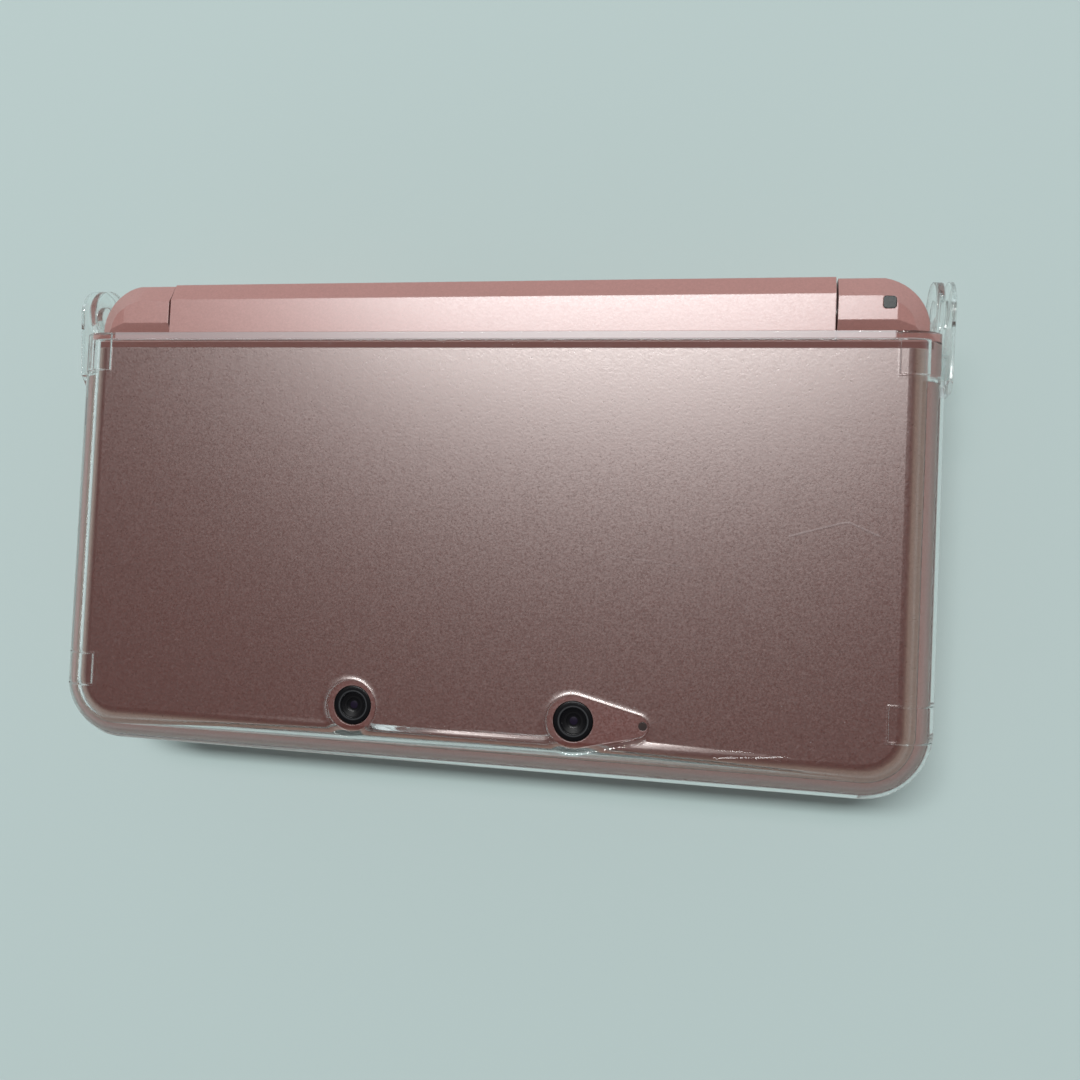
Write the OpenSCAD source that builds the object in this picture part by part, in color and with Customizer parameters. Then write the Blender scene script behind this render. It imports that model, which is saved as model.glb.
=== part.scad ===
/* [Console] */
// Width of the console across its two sides
con_w = 134; // [128:1:142]
// Depth from the front edge to the back of the hinge
con_d = 74; // [73:0.5:80]
// Thickness of the base half
base_h = 12; // [11.8:0.1:13]
// Thickness of the lid half
lid_h = 8.6; // [8.4:0.1:10]
// Slit between the rims of the closed halves
lid_gap = 0.3; // [0.2:0.05:0.6]
// Radius of the outer corners in plan
corner_r = 8; // [7:0.5:9]
// Radius of the rolled edge round the lid
edge_r = 3.4; // [3:0.1:4]
// Thickness of the moulded walls
wall = 1.4; // [1.2:0.1:1.6]
// Width of the slope round the underside of the base
slope_w = 3.2; // [1.5:0.1:4]
// Height of the slope round the underside of the base
slope_h = 2.6; // [1.5:0.1:2.8]

/* [Hinge] */
// Height of the hinge barrel and knuckles
barrel_d = 9.5; // [9:0.1:9.8]
// Depth of the hinge barrel from front to back
barrel_l = 9.8; // [9.4:0.1:10]
// Length of the middle barrel, which belongs to the lid
barrel_w = 107; // [100:1:112]
// Height of the slopes along the barrel
slope_z = 1.5; // [1.3:0.1:2]
// Depth of the slope along the front of the barrel
slope_front = 1.45; // [1:0.05:2]
// Depth of the slope along the back of the barrel
slope_back = 2.85; // [2:0.05:3.2]
// Depth of the slope along the front of the knuckles
knuckle_front = 2.9; // [2.4:0.05:3.2]
// Depth of the slope along the back of the knuckles
knuckle_back = 3.05; // [2.6:0.05:3.2]
// Drop from the top of the lid to the top of the hinge
hinge_drop = 1.1; // [0.8:0.1:1.6]
// Bore through the middle barrel
barrel_bore = 6.7; // [6.2:0.1:7]
// Diameter of the hinge shafts
shaft_d = 4; // [3.4:0.1:4.4]
// Width of the notification light
note_w = 1.8; // [1.4:0.1:2]

/* [Lid plate and cameras] */
// Thickness of the plate
plate_t = 1; // [0.8:0.1:1.2]
// Distance of the plate from the back edge of the lid
plate_in = 1.25; // [1:0.05:1.6]
// Spacing of the two outer cameras
cam_gap = 35; // [33:0.5:38]
// Distance of the cameras from the front edge
cam_in = 6.4; // [6:0.1:7.4]
// Diameter of each camera lens
lens_d = 6; // [5:0.1:6.4]
// Distance of the indicator dot from the right camera
dot_gap = 10.45; // [9.5:0.05:11.5]
// Diameter of the indicator dot
dot_d = 1.25; // [0.9:0.05:1.6]

/* [Screens] */
// Width of the upper picture
up_w = 76.8; // [72:0.2:80]
// Height of the upper picture
up_h = 46.1; // [43:0.1:47]
// Width of the touch picture
low_w = 61.4; // [57:0.2:63]
// Height of the touch picture
low_h = 46.1; // [43:0.1:47]

/* [Controls] */
// Diameter of the slide pad cap
pad_d = 16.4; // [15:0.1:17]
// Travel of the slide pad each way
pad_travel = 2.2; // [1.6:0.1:2.4]
// Span of the direction cross
cross_w = 20; // [18:0.2:20.6]
// Width of one arm of the cross
cross_arm = 6.8; // [6:0.1:7.4]
// Diameter of the face buttons
btn_d = 7.4; // [6.6:0.1:7.8]
// Distance of the face buttons from their middle
btn_ring = 7.4; // [7.1:0.1:7.6]
// Width of one menu key
key_w = 15.6; // [13:0.2:16.4]
// Depth of one menu key
key_d = 4.6; // [3.8:0.1:5]
// Height of the shoulder buttons
shoulder_h = 5.3; // [4.6:0.1:5.5]
// Length of the shoulder buttons along the back
shoulder_w = 22.5; // [20:0.1:24]
// Diameter of the stylus
stylus_d = 4; // [3.6:0.1:4.2]
// Length of the stowed stylus
stylus_l = 54; // [48:0.5:60]

/* [Slots and inside] */
// Width of the game card slot
slot_w = 33.6; // [33:0.1:35]
// Height of the game card slot
slot_h = 4.4; // [4.3:0.05:4.5]
// Depth of the game card slot
slot_l = 32; // [28:0.5:33]
// Bore of the headphone socket
jack_d = 3.6; // [3.5:0.05:3.8]
// Depth of the headphone socket
jack_l = 13; // [12:0.5:14]
// Width of the memory card
sd_w = 24; // [22:0.5:25]
// Thickness of the memory card
sd_t = 2.1; // [1.8:0.1:2.3]
// Width of the battery
bat_w = 42; // [36:0.5:43]
// Length of the battery
bat_l = 33; // [28:0.5:33.5]
// Thickness of the circuit boards
board_t = 0.8; // [0.6:0.1:1]

/* [Clear case] */
// Thickness of the clear case over the lid
case_t = 1.2; // [1:0.1:1.4]
// Thickness of the clear case round the sides
case_side = 1.9; // [1.7:0.1:2]
// Thickness of the clear case under the base
case_floor = 1.2; // [1:0.1:1.4]
// Gap between the console and the clear case
case_gap = 0.35; // [0.3:0.05:0.4]
// Diameter of the round camera cut-out
hole_d = 10; // [8.5:0.1:10.8]
// Radius of the small end of the other cut-out
drop_r = 2.7; // [2:0.1:3]
// Diameter of the case's hinge ears
ear_d = 9.4; // [8.8:0.1:9.8]
// Thickness of the case's hinge ears
ear_t = 1.2; // [1:0.1:1.4]

/* [Hidden] */
$fn = 64;
pink = [0.72, 0.5, 0.52];
dark = [0.16, 0.15, 0.16];
clear = [0.85, 0.92, 0.95, 0.35];
// running clearances
fit = 0.3;
snug = 0.08;
run = 0.05;
// heights
case_z = case_floor;
base_z = case_z + 0.1;
base_top = base_z + base_h;
lid_z = base_top + lid_gap;
lid_top = lid_z + lid_h;
cover_top = lid_top + case_gap + case_t;
// plan
front = -con_d / 2;
back = con_d / 2;
side = con_w / 2;
in_side = side - wall;
// hinge
axis_y = back - barrel_l / 2;
axis_z = lid_top - hinge_drop - barrel_d / 2;
low_cut = 1.75;
sweep_r = norm([barrel_l / 2, barrel_d / 2 - slope_z]);
knuckle_l = barrel_l / 2 - 0.15;
knuckle_z = 1.85;
knuckle_r = norm([knuckle_l, barrel_d / 2 - knuckle_z]);
lid_back = axis_y - barrel_l / 2 - 0.2;
channel_y = axis_y - sweep_r - fit;
channel_z = axis_z - sweep_r - fit;
knuckle_x = barrel_w / 2 + fit;
bridge_y = channel_y + 0.1;
// lid inside
ceiling_z = lid_top - plate_t - 1.2;
bezel_z = lid_z + 0.8;
bezel_t = 1.6;
bezel_top = bezel_z + bezel_t;
lid_back_in = lid_back - wall;
ribbon_x = 7.9 - barrel_w / 2;
up_y = -3.5;
cam_x = cam_gap / 2;
cam_y = front + cam_in;
slider_x = in_side - 2.9;
speaker_x = (up_w / 2 + slider_x) / 2 + 0.5;
slider_travel = 10;
// base inside
cover_t = 1.2;
floor_z = base_z + cover_t + 1;
split_z = base_z + 7.7;
face_z = base_top - wall;
board_z = floor_z + slot_h + 0.8;
board_top = board_z + board_t;
low_y = -1.2;
side_x = (in_side + low_w / 2) / 2 + 2.35;
cover_w = con_w - 16;
cover_d = con_d - 14;
pad_y = 9;
pad_reach = pad_travel * sqrt(2) + 0.4;
cross_y = -15;
btn_y = 9;
power_y = -21;
ball_d = 2.2;
ball_z = board_top + 1.15;
key_y = front + 6.2;
key_pitch = key_w + 1.4;
port_z = base_z + 5.1;
jack_z = base_z + 5.2;
stylus_x = -22;
inlet_x = 27;
window_x = 38;
bat_x = 6;
bat_y = front + 3;
sd_y = front + 22;
sd_x = -in_side + 1.9;
sd_z = floor_z + 0.5;
vol_y = back - 21;
vol_z = base_z + 9.3;
vol_travel = 4;
radio_y = -6;
// shoulder buttons
sh_x = side - shoulder_w;
sh_z = base_z + 3.3;
sh_pin_x = sh_x + 2.3;
sh_pin_y = back - 3.5;
sh_y = back - corner_r - 0.4;
sh_angle = 3.5;
sh_drop = (side - sh_pin_x) * sin(sh_angle) + fit;
// clear case
cs = case_gap + case_side;
lip_y = back - 9;
clip_x = side - 4.9;
clip_y = front + 6.7;
clip_w = 5.4;
notch_y = back - 15.4;
line_w = 0.25;
case_base_top = base_top - 1.1;
case_lid_low = lid_z + 0.5;
ear_in = side + 0.4;
ear_out = ear_in + ear_t + fit;
arm_y = notch_y - 1.7;

// ---- shared shapes ----
module block(x0, x1, y0, y1, z0, z1) {
    translate([x0, y0, z0]) cube([x1 - x0, y1 - y0, z1 - z0]);
}
module rod_x(x0, x1, y, z, d) {
    translate([x0, y, z]) rotate([0, 90, 0]) cylinder(d = d, h = x1 - x0);
}
module rod_y(x, y0, y1, z, d) {
    translate([x, y0, z]) rotate([-90, 0, 0]) cylinder(d = d, h = y1 - y0);
}
module rod_z(x, y, z0, z1, d) {
    translate([x, y, z0]) cylinder(d = d, h = z1 - z0);
}
module pad2(w, d, r) {
    square([w, d - 2 * r], center = true);
    square([w - 2 * r, d], center = true);
    for (x = [-1, 1], y = [-1, 1])
        translate([x * (w / 2 - r), y * (d / 2 - r)]) circle(r);
}
module slab(x, y, z0, z1, w, d, r) {
    translate([x, y, z0]) linear_extrude(z1 - z0) pad2(w, d, r);
}
module both_sides() {
    children();
    mirror([1, 0, 0]) children();
}
// sweeps the section drawn by its child round the front and the sides
module sweep_u(w, y0, y1, r, z0, z1) {
    both_sides() {
        translate([w / 2 - r, y1, 0]) rotate([90, 0, 0]) linear_extrude(y1 - y0 - r) children();
        translate([w / 2 - r, y0 + r, 0]) rotate([0, 0, -90]) rotate_extrude(angle = 90) children();
    }
    translate([w / 2 - r, y0 + r, 0]) rotate([90, 0, -90]) linear_extrude(w - 2 * r) children();
    block(r - w / 2, w / 2 - r, y0 + r, y1, z0, z1);
}
// the same with rounded corners at the back as well
module sweep_o(w, y0, y1, r, z0, z1) {
    both_sides() translate([w / 2 - r, y1 - r, 0]) rotate_extrude(angle = 90) children();
    translate([r - w / 2, y1 - r, 0]) rotate([90, 0, 90]) linear_extrude(w - 2 * r) children();
    sweep_u(w, y0, y1 - r, r, z0, z1) children();
}
// section with a rolled upper and lower edge
module rolled(r, z0, z1, top_r, low_r) {
    intersection() {
        translate([0, z0]) square([r, z1 - z0]);
        union() {
            translate([0, z0]) square([r - low_r, z1 - z0 - top_r]);
            translate([0, z0 + low_r]) square([r, z1 - z0 - low_r - top_r]);
            translate([0, z0 + low_r]) square([r - top_r, z1 - z0 - low_r]);
            translate([r - low_r, z0 + low_r]) circle(low_r);
            translate([r - top_r, z1 - top_r]) circle(top_r);
        }
    }
}
// section with a sloped lower edge and a softened upper one
module sloped(r, z0, z1, top_r) {
    polygon([
        [0, z0], [r - slope_w, z0], [r, z0 + slope_h], [r, z1 - top_r], [r - top_r, z1 - top_r],
        [r - top_r, z1], [0, z1]
    ]);
    translate([r - top_r, z1 - top_r]) circle(top_r);
}
// section of the hinge: half its depth, depth and height of the slopes along the top
module hinge_form(l, f, b, z) {
    h = barrel_d / 2;
    polygon([
        [l, low_cut - h], [l, h - z], [l - b, h], [f - l, h], [-l, h - z], [-l, low_cut - h],
        [low_cut - l, -h], [l - low_cut, -h]
    ]);
}
module hinge_bar(x0, x1) {
    translate([x0, axis_y, axis_z]) rotate([90, 0, 90]) linear_extrude(x1 - x0) children();
}

// ---- lid ----
module lid_form(grow, z0, z1) {
    sweep_u(con_w + 2 * grow, front - grow, lid_back, corner_r + grow, z0, z1)
        rolled(corner_r + grow, z0, z1, edge_r + grow, 1.2);
}
// part of the lid's form above or below the joint round the plate
module lid_layer(z0, z1, y1) {
    intersection() {
        lid_form(0, lid_z, lid_top);
        block(-side - 1, side + 1, front - 1, y1, z0, z1);
    }
}
module lens_spots(d) {
    for (s = [-1, 1]) translate([s * cam_x, cam_y]) circle(d = d);
    translate([cam_x + dot_gap, cam_y]) circle(d = d * dot_d / lens_d);
}
lid_posts = [
    for (x = [-1, 1], y = [0, 1]) [x * (in_side - 6), y == 0 ? front + 9 : lid_back_in - 4]
];
module lid_outer_shell() color(pink) {
    difference() {
        union() {
            difference() {
                lid_layer(lid_z, lid_top - plate_t, lid_back + 1);
                sweep_u(con_w - 2 * wall, front + wall, lid_back_in, corner_r - wall, lid_z - 1, ceiling_z)
                    rolled(corner_r - wall, lid_z - 1, ceiling_z, edge_r - wall, 0.4);
            }
            block(-barrel_w / 2, barrel_w / 2, bridge_y, axis_y - 3, lid_z + 0.6, axis_z + 2.6);
            hinge_bar(-barrel_w / 2, barrel_w / 2) hinge_form(barrel_l / 2, slope_front, slope_back, slope_z);
            both_sides()
                block(knuckle_x - 1.3, in_side + 0.2, lid_back_in - 1.2, lid_back_in + 0.2, bezel_top + 0.1, ceiling_z + 0.2);
            for (p = lid_posts) rod_z(p.x, p.y, bezel_top, ceiling_z + 0.4, 4);
            both_sides() block(side - 6.4, in_side + 0.2, -8, 12, ceiling_z - 0.8, ceiling_z + 0.4);
        }
        translate([0, 0, ceiling_z - 1]) linear_extrude(3) lens_spots(lens_d + 0.9);
        rod_x(-barrel_w, barrel_w, axis_y, axis_z, barrel_bore);
        both_sides() rod_x(barrel_w / 2, side + 1, axis_y, axis_z, 2 * (knuckle_r + fit));
        for (p = lid_posts) rod_z(p.x, p.y, bezel_top - 1, ceiling_z - 0.5, 1.5);
        block(ribbon_x - 0.4, ribbon_x + 15.6, lid_back_in - 1, axis_y - 2, axis_z - 0.4, axis_z + 0.4);
    }
}
module lid_top_plate() color([0.76, 0.54, 0.57]) difference() {
    lid_layer(lid_top - plate_t + 0.02, lid_top + 1, lid_back - plate_in);
    translate([0, 0, lid_top - plate_t - 1]) linear_extrude(plate_t + 2) lens_spots(lens_d + 2 * snug);
}
module lid_inner_bezel() color(pink) {
    w = con_w - 2 * wall - 2 * 0.15;
    y0 = front + wall + 0.15;
    y1 = lid_back_in - 0.15;
    r = corner_r - wall - 0.15;
    difference() {
        translate([0, 0, bezel_z]) linear_extrude(bezel_t) union() {
            translate([-w / 2, y0 + r]) square([w, y1 - y0 - r]);
            translate([r - w / 2, y0]) square([w - 2 * r, r + 1]);
            for (s = [-1, 1]) translate([s * (w / 2 - r), y0 + r]) circle(r);
        }
        slab(0, up_y, bezel_z - 1, bezel_z + 0.9, up_w + 9.4, up_h + 6.3, 2);
        slab(0, up_y, bezel_z - 1, bezel_top + 1, up_w + 1, up_h + 1, 0.6);
        for (s = [-1, 1], a = [0 : 60 : 300]) {
            rod_z(s * speaker_x + 2.8 * cos(a), up_y + 2.8 * sin(a), bezel_z - 1, bezel_top + 1, 1.5);
        }
        for (s = [-1, 1]) rod_z(s * speaker_x, up_y, bezel_z - 1, bezel_top + 1, 1.5);
        rod_z(0, front + 4.6, bezel_z - 1, bezel_top + 1, 3.8);
        slab(slider_x, up_y, bezel_z - 1, bezel_top + 1, 3, slider_travel + 5, 1);
        for (p = lid_posts) {
            rod_z(p.x, p.y, bezel_z - 1, bezel_z + 0.8, 3.2);
            rod_z(p.x, p.y, bezel_z, bezel_top + 1, 1.6);
        }
    }
}
module upper_screen_window() color(dark) slab(0, up_y, bezel_z + 0.05, bezel_z + 0.9, up_w + 9.2, up_h + 6.1, 1.9);
module upper_screen_module() color([0.6, 0.62, 0.65]) {
    block(-up_w / 2 - 3.5, up_w / 2 + 3.5, up_y - up_h / 2 - 2.6, up_y + up_h / 2 + 2.6, bezel_top, bezel_top + 2.1);
}
module outer_camera_module() color([0.2, 0.35, 0.25]) {
    z0 = bezel_top + 2.15;
    block(-cam_x - 4.5, cam_x + dot_gap + 2, cam_y - 3.4, cam_y + 3.4, z0, z0 + 0.8);
    for (s = [-1, 1]) difference() {
        rod_z(s * cam_x, cam_y, z0 + 0.8, lid_top - plate_t - 0.05, lens_d + 0.3);
        rod_z(s * cam_x, cam_y, lid_top - 1.6, lid_top, 3);
    }
}
module outer_lens_covers() color([0.04, 0.04, 0.05]) {
    for (s = [-1, 1]) rod_z(s * cam_x, cam_y, lid_top - 0.8, lid_top - 0.05, lens_d);
}
module camera_light_guide() color([0.35, 0.2, 0.2]) {
    x = cam_x + dot_gap;
    rod_z(x, cam_y, bezel_top + 2.98, lid_top, dot_d);
}
module inner_camera() color(dark) {
    rod_z(0, front + 4.6, bezel_z + 0.3, bezel_top, 3.6);
    block(-3.2, 3.2, front + 1.8, front + 7.2, bezel_top, bezel_top + 1.6);
}
module speaker_modules() color(dark) {
    for (s = [-1, 1]) slab(s * speaker_x, up_y, bezel_top, bezel_top + 2.8, 11, 22, 2);
}
module depth_slider_board() color([0.2, 0.35, 0.25]) {
    difference() {
        block(slider_x - 2.2, slider_x + 2.3, up_y - 11, up_y + 11, bezel_top + 0.6, bezel_top + 1.8);
        block(slider_x - 1.3, slider_x + 1.3, up_y - 8, up_y + 8, bezel_top, bezel_top + 1.2);
    }
    for (y = [-10.2, 10.2])
        block(slider_x - 1.6, slider_x + 1.6, up_y + y - 0.7, up_y + y + 0.7, bezel_top, bezel_top + 0.6);
}
module depth_slider_knob() color([0.6, 0.6, 0.62]) {
    y = up_y - slider_travel / 2;
    slab(slider_x, y, bezel_z - 0.5, bezel_top + 0.25, 2.2, 3.4, 0.8);
    block(slider_x - 1, slider_x + 1, y - 1.6, y + 1.6, bezel_top + 0.2, bezel_top + 0.9);
}
module lid_rubber_pads() color([0.35, 0.33, 0.34]) {
    for (x = [-44, 44], y = [front + 4.2, lid_back_in - 2.6]) rod_z(x, y, base_top, bezel_z, 3);
}
module lid_screws() color("silver") {
    for (p = lid_posts) {
        rod_z(p.x, p.y, bezel_z + 0.1, bezel_z + 0.8, 3);
        rod_z(p.x, p.y, bezel_z + 0.8, ceiling_z - 0.8, 1.4);
    }
}
module hinge_clutch() color("silver") {
    x1 = barrel_w / 2 - 0.1;
    difference() {
        rod_x(x1 - 17, x1, axis_y, axis_z, barrel_bore - 0.1);
        rod_x(x1 - 12, x1 + 1, axis_y, axis_z, shaft_d + 2 * run);
    }
}
module hinge_shaft() color([0.6, 0.6, 0.62]) {
    x1 = barrel_w / 2;
    rod_x(x1 - 11.8, knuckle_x, axis_y, axis_z, shaft_d);
    difference() {
        rod_x(knuckle_x, knuckle_x + 6, axis_y, axis_z, shaft_d);
        block(0, side, axis_y - 3, axis_y + 3, axis_z + shaft_d * 0.32, axis_z + 3);
    }
}
module hinge_bush() color([0.85, 0.84, 0.8]) {
    x1 = -barrel_w / 2 + 0.1;
    difference() {
        rod_x(x1, x1 + 6, axis_y, axis_z, barrel_bore - 0.1);
        rod_x(x1 - 1, x1 + 7, axis_y, axis_z, shaft_d + 2 * run);
    }
}
module hinge_tube() color([0.6, 0.6, 0.62]) {
    difference() {
        rod_x(-knuckle_x - 6, -barrel_w / 2 + 5.6, axis_y, axis_z, shaft_d);
        rod_x(-side, 0, axis_y, axis_z, shaft_d - 1.2);
    }
}
module lid_ribbon() color([0.75, 0.5, 0.25]) {
    difference() {
        rod_x(ribbon_x, ribbon_x + 15.2, axis_y, axis_z, barrel_bore - 0.4);
        rod_x(ribbon_x - 4, ribbon_x + 20, axis_y, axis_z, barrel_bore - 0.9);
        block(ribbon_x - 4, ribbon_x + 20, axis_y - 1, axis_y + 4, axis_z - 4, axis_z);
    }
    block(
        ribbon_x, ribbon_x + 15.2, up_y + up_h / 2 + 2.65, axis_y - barrel_bore / 2 + 0.4, axis_z - 0.15, axis_z + 0.15
    );
}

// ---- clear case ----
module drop_shape() {
    hull() {
        circle(d = hole_d);
        translate([dot_gap - 0.9, 0]) circle(drop_r);
    }
}
module case_lid_cover() color(clear) {
    r = corner_r + cs;
    zt = lid_top + case_gap;
    difference() {
        union() {
            difference() {
                sweep_u(con_w + 2 * cs, front - cs, lip_y, r, case_lid_low, cover_top)
                    intersection() {
                        translate([0, case_lid_low]) square([r, cover_top - case_lid_low]);
                        rolled(r, case_lid_low - 2, cover_top, edge_r + cs, 0.4);
                    }
                sweep_u(con_w + 2 * case_gap, front - case_gap, lip_y - 0.9, corner_r + case_gap, -1, zt)
                    rolled(corner_r + case_gap, -1, zt, edge_r + case_gap, 0.4);
                block(-side - 9, side + 9, lip_y - 0.95, lip_y + 1, 0, lid_top - 0.9);
            }
            both_sides() {
                block(side + case_gap + 0.2, ear_out + ear_t, arm_y, notch_y, axis_z - 2.4, axis_z + 2.4);
                translate([ear_out, 0, 0]) rotate([90, 0, 90]) linear_extrude(ear_t) union() {
                    translate([axis_y, axis_z]) circle(d = ear_d);
                    polygon([
                        [arm_y, axis_z - 2.4], [notch_y, axis_z - 3.4], [axis_y, axis_z - ear_d / 2],
                        [axis_y, axis_z + ear_d / 2], [notch_y, axis_z + 3.8], [arm_y, axis_z + 2.4]
                    ]);
                }
            }
        }
        translate([-cam_x, cam_y, zt - 1]) cylinder(d = hole_d, h = 4);
        translate([cam_x, cam_y, zt - 1]) linear_extrude(4) drop_shape();
        both_sides() rod_x(side, ear_out + 3, axis_y, axis_z, 4 + 2 * run);
        // fine lines round the clip at the front and the tab at the back
        difference() {
            both_sides() {
                block(clip_x, side + 9, notch_y, notch_y + line_w, lid_top - 3, cover_top + 1);
                block(clip_x, clip_x + line_w, notch_y, lip_y + 1, lid_top - 3, cover_top + 1);
                difference() {
                    block(clip_x, side + 9, clip_y, clip_y + clip_w, case_lid_low - 1, cover_top + 1);
                    block(
                        clip_x + line_w, side + 10, clip_y + line_w, clip_y + clip_w - line_w, case_lid_low - 2, cover_top + 2
                    );
                }
            }
            lid_form(cs - 0.35, lid_z, cover_top - 0.35);
            block(-side - cs + 0.35, side + cs - 0.35, lid_back - 1, lip_y + 2, 0, cover_top - 0.35);
        }
        block(-side - cs - 0.29, side + cs + 0.29, notch_y, back, 0, lid_top - 0.9);
    }
    both_sides() translate([side, clip_y + clip_w, 0]) rotate([90, 0, 0]) linear_extrude(clip_w) polygon([
        [case_gap + 0.1, lid_z + 0.9], [case_gap + 0.1, lid_z + 0.2], [-0.25, lid_z + 0.2], [0.1, lid_z + 0.9]
    ]);
}
module case_base_cover() color(clear) {
    r = corner_r + cs;
    difference() {
        union() {
            difference() {
                sweep_o(con_w + 2 * cs, front - cs, back + case_gap, r, 0, case_base_top)
                    sloped(r, 0, case_base_top, 0.4);
                sweep_o(con_w + 2 * case_gap, front - case_gap, back + 9, corner_r + case_gap, case_z, 40)
                    sloped(corner_r + case_gap, case_z, 40, 0.4);
                block(-side - 9, side + 9, back - 10, back + 9, case_z, 40);
                block(-side - 9, side + 9, back - 4, back + 9, -1, 40);
            }
            both_sides() {
                translate([ear_in, 0, 0]) rotate([90, 0, 90]) linear_extrude(ear_t) union() {
                    translate([axis_y, axis_z]) circle(d = ear_d);
                    polygon([
                        [back - 15, base_z + 7], [back - 10, base_z + 8], [axis_y + 2, axis_z - 4.1],
                        [axis_y - 3, axis_z + 3.5], [back - 15, case_base_top]
                    ]);
                }
                rod_x(ear_in + 0.5, ear_out + ear_t, axis_y, axis_z, 4);
            }
        }
        block(-side - 9, -side + 2, sd_y - sd_w / 2 - 3, sd_y + sd_w / 2 + 3, base_z + 2.2, base_top);
        block(-side - 9, -side + 2, vol_y - vol_travel - 4, vol_y + vol_travel + 4, vol_z - 2, base_top);
        block(side - 2, side + 9, radio_y - 4, radio_y + 4, base_z + 3, base_z + 7.4);
        block(-5, 5, front - 9, front + 2, jack_z - 4, base_top);
        block(35, 49, front - 9, front + 2, port_z - 1.6, port_z + 1.6);
    }
}

// ---- base housings ----
module base_form(z0, z1) {
    intersection() {
        sweep_o(con_w, front, back, corner_r, base_z, base_top) sloped(corner_r, base_z, base_top, 0.5);
        block(-side - 1, side + 1, front - 1, back + 1, z0, z1);
    }
}
module base_hollow(z0, z1) {
    translate([0, 0, z0]) linear_extrude(z1 - z0)
        translate([0, (front + back) / 2]) pad2(con_w - 2 * wall, con_d - 2 * wall, corner_r - wall);
}
module shoulder_room(x_add) {
    both_sides() block(sh_x - fit - x_add, side + 1, sh_y - sh_drop, back + 1, sh_z - fit, channel_z);
}
module knuckle() {
    h = barrel_d / 2;
    intersection() {
        union() {
            hinge_bar(knuckle_x, side + 1) hinge_form(knuckle_l, knuckle_front, knuckle_back, knuckle_z);
            block(knuckle_x, side + 1, axis_y - knuckle_l, back, split_z, axis_z);
        }
        sweep_o(con_w, front, back, corner_r, split_z, lid_top) polygon([
            [0, split_z], [corner_r, split_z], [corner_r, axis_z + h - knuckle_z - 0.1],
            [corner_r - knuckle_back - 0.1, axis_z + h], [0, axis_z + h]
        ]);
        translate([0, back + 1, 0]) rotate([90, 0, 0]) linear_extrude(con_d) {
            polygon([
                [0, 0], [side, 0], [side, axis_z + h - 2.6], [side - 2, axis_z + h - 0.6], [side - 4.9, axis_z + h],
                [0, axis_z + h]
            ]);
            translate([side - 2, axis_z + h - 2.6]) circle(2);
        }
    }
}
post_y = front + 8.8;
post_back = channel_y - 5.6;
base_posts = [[stylus_x - 5, post_y], [bat_x + bat_w + 5, post_y], [-31.5, post_back], [31.5, post_back]];
note_x = (knuckle_x + side) / 2 + 0.6;
note_y = axis_y + 0.7;
module cross2(w, arm) {
    pad2(w, arm, 0.8);
    pad2(arm, w, 0.8);
}
btn_spots = [[0, btn_ring], [0, -btn_ring], [btn_ring, 0], [-btn_ring, 0]];
module base_upper_housing() color(pink) {
    difference() {
        union() {
            difference() {
                base_form(split_z, base_top);
                intersection() {
                    base_hollow(split_z - 1, face_z);
                    block(-side, side, front, channel_y - wall, 0, 40);
                }
                base_hollow(split_z - 1, channel_z - 1.35);
                block(-knuckle_x, knuckle_x, channel_y, back + 1, channel_z, 40);
            }
            both_sides() knuckle();
            rod_z(-side_x, pad_y, face_z - 1.6, face_z + 0.2, pad_d + 2 * pad_reach + 3);
            both_sides() block(side - 3, in_side + 0.3, sh_y - sh_drop - 3, sh_y - sh_drop - 0.3, split_z, face_z + 0.2);
        }
        shoulder_room(0);
        rod_z(-side_x, pad_y, face_z - 0.6, 40, pad_d + 2 * pad_reach);
        rod_z(-side_x, pad_y, split_z, 40, 4.4 + 2 * pad_reach);
        translate([-side_x, cross_y, split_z]) linear_extrude(9) cross2(cross_w + 1.2, cross_arm + 1.2);
        for (p = btn_spots) rod_z(side_x + p.x, btn_y + p.y, split_z, 40, btn_d + 2 * fit);
        for (k = [-1, 0, 1]) slab(k * key_pitch, key_y, split_z, 40, key_w + 2 * fit, key_d + 2 * fit, 1);
        slab(side_x, power_y, split_z, 40, 9 + 2 * fit, 5 + 2 * fit, 2.4);
        rod_z(1.5 * key_pitch + 4.5, key_y, split_z, 40, 1.2);
        slab(0, low_y, base_top - 1.2, 40, low_w + 5.6, low_h + 3.9, 1);
        slab(0, low_y, split_z, 40, low_w + 1.6, low_h + 1.3, 0.6);
        block(-side - 1, -in_side + 0.6, vol_y - vol_travel - 2.8, vol_y + vol_travel + 2.8, vol_z - 1.1, vol_z + 1.1);
        rod_x(-knuckle_x - 6.2, -knuckle_x + 1, axis_y, axis_z, shaft_d + 2 * run);
        difference() {
            rod_x(knuckle_x - 1, knuckle_x + 6.2, axis_y, axis_z, shaft_d + 2 * run);
            block(0, side, axis_y - 3, axis_y + 3, axis_z + shaft_d * 0.32 + run, axis_z + 3);
        }
        slab(note_x, note_y, axis_z + 1.8, 40, note_w + 0.1, note_w + 0.1, 0.5);
    }
}
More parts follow.
